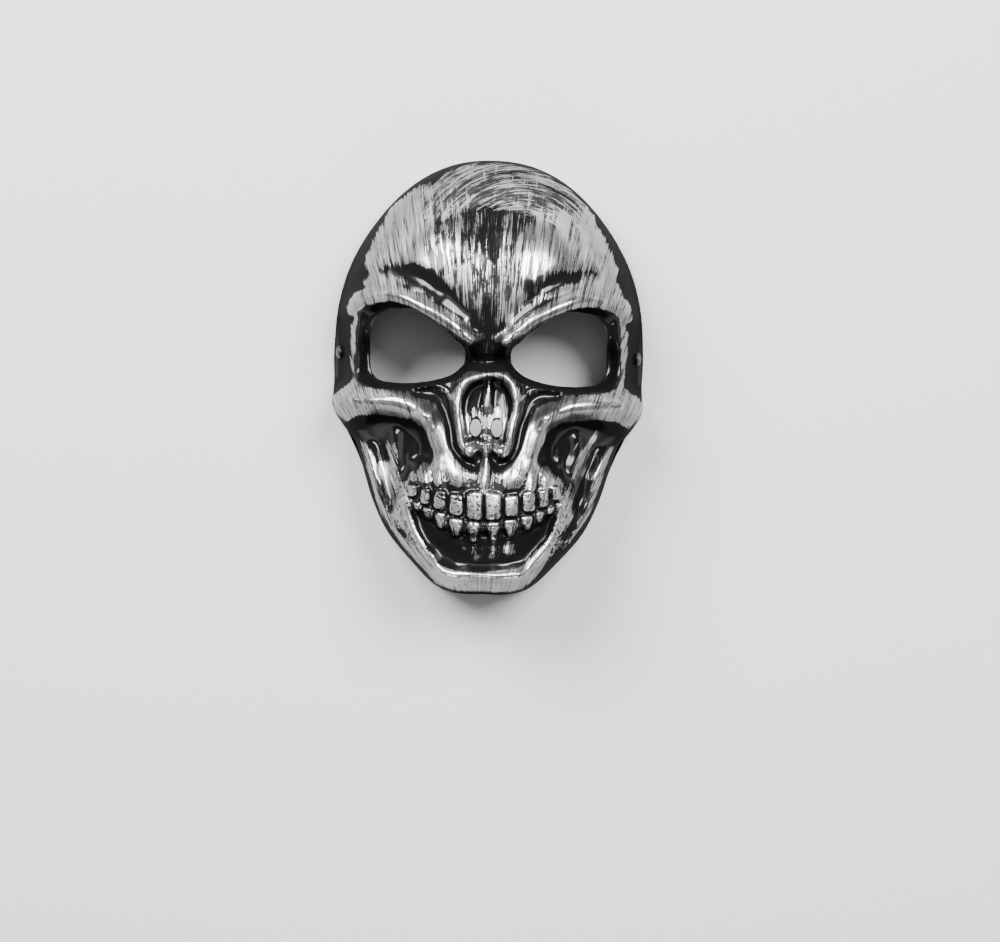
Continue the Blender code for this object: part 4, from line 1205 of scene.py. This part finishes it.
class Finish:
    """A material whose nodes are added one by one."""

    def __init__(self, name):
        self.material = bpy.data.materials.new(name)
        self.material.use_nodes = True
        self.tree = self.material.node_tree
        self.tree.nodes.clear()
        self.shader = self.node("ShaderNodeBsdfPrincipled", {}, {})
        self.node("ShaderNodeOutputMaterial", {}, {"Surface": self.shader.out(0)})

    def node(self, kind, settings, inputs):
        made = self.tree.nodes.new(kind)
        for key, value in settings.items():
            setattr(made, key, value)
        for key, value in inputs.items():
            self.feed(made.inputs[key], value)
        return Part(self, made)

    def feed(self, socket, value):
        if isinstance(value, Reading):
            self.tree.links.new(value.socket, socket)
        else:
            socket.default_value = value

    def set(self, **inputs):
        for key, value in inputs.items():
            self.feed(self.shader.made.inputs[key.replace("_", " ")], value)

    def number(self, name):
        return self.node("ShaderNodeAttribute", {"attribute_name": name}, {}).out("Fac")

    def vector(self, name):
        return self.node("ShaderNodeAttribute", {"attribute_name": name}, {}).out("Vector")

    def object_place(self):
        return self.node("ShaderNodeTexCoord", {}, {}).out("Object")

    def stretched(self, vector, scale):
        return self.node("ShaderNodeMapping", {}, {"Vector": vector, "Scale": scale}).out(0)

    def noise(self, vector, scale=1.0, detail=2.0, roughness=0.5):
        inputs = {"Vector": vector, "Scale": scale, "Detail": detail, "Roughness": roughness}
        return self.node("ShaderNodeTexNoise", {}, inputs).out(0)

    def blend(self, share, first, second):
        """A colour between two others."""
        inputs = {0: share, 6: first, 7: second}
        return self.node("ShaderNodeMix", {"data_type": "RGBA"}, inputs).out(2)

    def bump(self, height, distance):
        inputs = {"Height": height, "Distance": distance, "Strength": 1.0}
        return self.node("ShaderNodeBump", {}, inputs).out("Normal")


# Marks to a metre across and along a stroke, and from layer to layer
BRISTLE_MARKS = (1500.0, 75.0, 40.0)
BAND_MARKS = (420.0, 32.0, 40.0)
BLACK = (0.005, 0.005, 0.005, 1)
THIN_SILVER = (0.07, 0.07, 0.069, 1)
# Silver on steep sides, darkened as painted shade
PAINTED_SHADE_SILVER = (0.22, 0.22, 0.217, 1)
FULL_SILVER = (0.76, 0.76, 0.75, 1)


def silvered_plastic():
    """Gloss black plastic with silver dragged over it by a nearly dry brush."""
    finish = Finish("silvered_black_plastic")
    blotches = finish.noise(finish.object_place(), scale=140.0, detail=3.0)
    flecks = finish.noise(finish.object_place(), scale=620.0, detail=3.0, roughness=0.6)
    uneven = (blotches - 0.5) * 0.6 + (flecks - 0.5) * finish.number("flecked")
    uncovered = 1.0
    streaks = 0.0
    for family in ("upright", "jaw", "arcs"):
        paths = finish.vector(f"{family}_strokes")
        bristles = finish.noise(finish.stretched(paths, BRISTLE_MARKS), detail=3.0, roughness=0.6)
        bands = finish.noise(finish.stretched(paths, BAND_MARKS), detail=2.0)
        thick = finish.number(f"{family}_silver") + (bristles - 0.5) * 2.1 + (bands - 0.5) * 1.5
        cover = (thick + uneven).step(0.20, 0.60)
        uncovered = (1 - cover) * uncovered
        streaks = (bristles * 0.6 + bands * 0.4) * cover + streaks
    cover = 1 - uncovered
    steep = finish.number("steep")
    # Painted shade: the silver is blended darker where the steep reading is high, on the sides of the face
    silver_with_painted_shade = finish.blend(steep, FULL_SILVER, PAINTED_SHADE_SILVER)
    silver = finish.blend(streaks.step(0.38, 0.62), THIN_SILVER, silver_with_painted_shade)
    finish.set(
        Base_Color=finish.blend(cover, BLACK, silver),
        Metallic=cover * 0.92,
        Roughness=cover * 0.09 + 0.18,
        Specular_IOR_Level=0.0,
        Coat_Weight=(1 - cover) * (1 - steep * 0.95),
        Coat_IOR=1.42,
        Coat_Roughness=0.16,
        Normal=finish.bump(cover * 0.6 + streaks * 0.4, 0.00008),
    )
    return finish.material


def bare_plastic():
    finish = Finish("bare_black_plastic")
    grain = finish.noise(finish.object_place(), scale=900.0, detail=2.0)
    mottle = finish.noise(finish.object_place(), scale=60.0, detail=2.0)
    finish.set(
        Base_Color=finish.blend(mottle, (0.010, 0.010, 0.011, 1), (0.022, 0.022, 0.023, 1)),
        Roughness=mottle * 0.25 + 0.22,
        Normal=finish.bump(grain, 0.00003),
    )
    return finish.material


def woven_elastic():
    """Black elastic: cords along it, fine ribs across, and a little fuzz."""
    finish = Finish("woven_black_elastic")
    weave = finish.vector("weave")
    picks = {"wave_type": "BANDS", "bands_direction": "X"}
    wave = {"Vector": weave, "Scale": 420.0, "Distortion": 0.6}
    ribs = finish.node("ShaderNodeTexWave", picks, wave).out(1)
    fuzz = finish.noise(weave, scale=5200.0, detail=2.0)
    wear = finish.noise(weave, scale=160.0, detail=2.0)
    tone = ribs * 0.5 + fuzz * 0.35 + wear * 0.3
    finish.set(
        Base_Color=finish.blend(tone, (0.006, 0.006, 0.007, 1), (0.040, 0.040, 0.044, 1)),
        Roughness=wear * 0.2 + 0.72,
        Sheen_Weight=0.35,
        Normal=finish.bump(ribs * 0.8 + fuzz * 0.4, 0.00012),
    )
    return finish.material


def blackened_metal():
    finish = Finish("blackened_metal")
    wear = finish.noise(finish.object_place(), scale=500.0, detail=3.0)
    scratches = finish.noise(finish.stretched(finish.object_place(), (3000.0, 600.0, 600.0)), detail=2.0)
    bright = wear.step(0.52, 0.75)
    finish.set(
        Base_Color=finish.blend(bright, (0.03, 0.03, 0.032, 1), (0.22, 0.22, 0.23, 1)),
        Metallic=1.0,
        Roughness=scratches * 0.25 + 0.25,
        Normal=finish.bump(scratches, 0.00002),
    )
    return finish.material


CAMERA_HEIGHT = 1.26
CAMERA_PLACE = (0.0072, -0.0475)
CAMERA_ROLL = np.radians(1.4)
SENSOR_MM = 36
VIEW_WIDTH = 0.485
FACE_PLANE = 0.06

Light = namedtuple("Light", "spot size power")
LIGHTS = (
    Light((-0.80, 0.80, 1.10), 0.95, 74),
    Light((0.60, 0.56, 1.25), 0.80, 54),
    Light((0.1, -1.4, 0.8), 0.7, 6),
    Light((0.0, 0.0, 1.9), 1.2, 6),
)
AIR_STRENGTH = 0.09
FLOOR_SIZE = 8
FLOOR_DROP = 0.0002
FLOOR_GREY = (0.58, 0.58, 0.58, 1)


def make_camera():
    deselect_all()
    bpy.ops.object.camera_add(location=(*CAMERA_PLACE, CAMERA_HEIGHT), rotation=(0, 0, CAMERA_ROLL))
    camera = bpy.context.object
    camera.data.sensor_width = SENSOR_MM
    camera.data.lens = SENSOR_MM * (CAMERA_HEIGHT - FACE_PLANE) / VIEW_WIDTH
    bpy.context.scene.camera = camera


def add_light(spot, size, power):
    """A soft light that faces the mask."""
    deselect_all()
    aim = Vector((0, 0, FACE_PLANE)) - Vector(spot)
    bpy.ops.object.light_add(type="AREA", location=spot, rotation=aim.to_track_quat("-Z", "Y").to_euler())
    light = bpy.context.object.data
    light.shape = "DISK"
    light.size = size
    light.energy = power


def make_studio():
    deselect_all()
    bpy.ops.mesh.primitive_plane_add(size=FLOOR_SIZE, location=(0, 0, -FLOOR_DROP))
    floor = bpy.context.object
    floor.name = "studio_floor"
    finish = Finish("pale_floor")
    finish.set(Base_Color=FLOOR_GREY, Roughness=0.9)
    floor.data.materials.append(finish.material)
    for light in LIGHTS:
        add_light(*light)
    world = bpy.data.worlds.new("studio_air")
    world.use_nodes = True
    background = world.node_tree.nodes["Background"].inputs
    background["Color"].default_value = (1, 1, 1, 1)
    background["Strength"].default_value = AIR_STRENGTH
    bpy.context.scene.world = world


make_camera()
make_studio()
front = half_map(outer_height)
inside = inner_map(front)
seat = temple_seat(front, inside)
shell = make_shell(inside, seat)
paint_shell(shell, half_map(relief_height))
smooth(shell, SMOOTH_BELOW)
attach(shell, "root")
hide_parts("shell")

strap = make_strap(seat)
smooth(strap, SMOOTH_BELOW)
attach(strap, "root")
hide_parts("elastic_strap")

metal = blackened_metal()
for side, word in ((-1, "left"), (1, "right")):
    rivet = make_rivet(word, seat, side, metal)
    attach(rivet, "root")
    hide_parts(f"rivet_{word}")
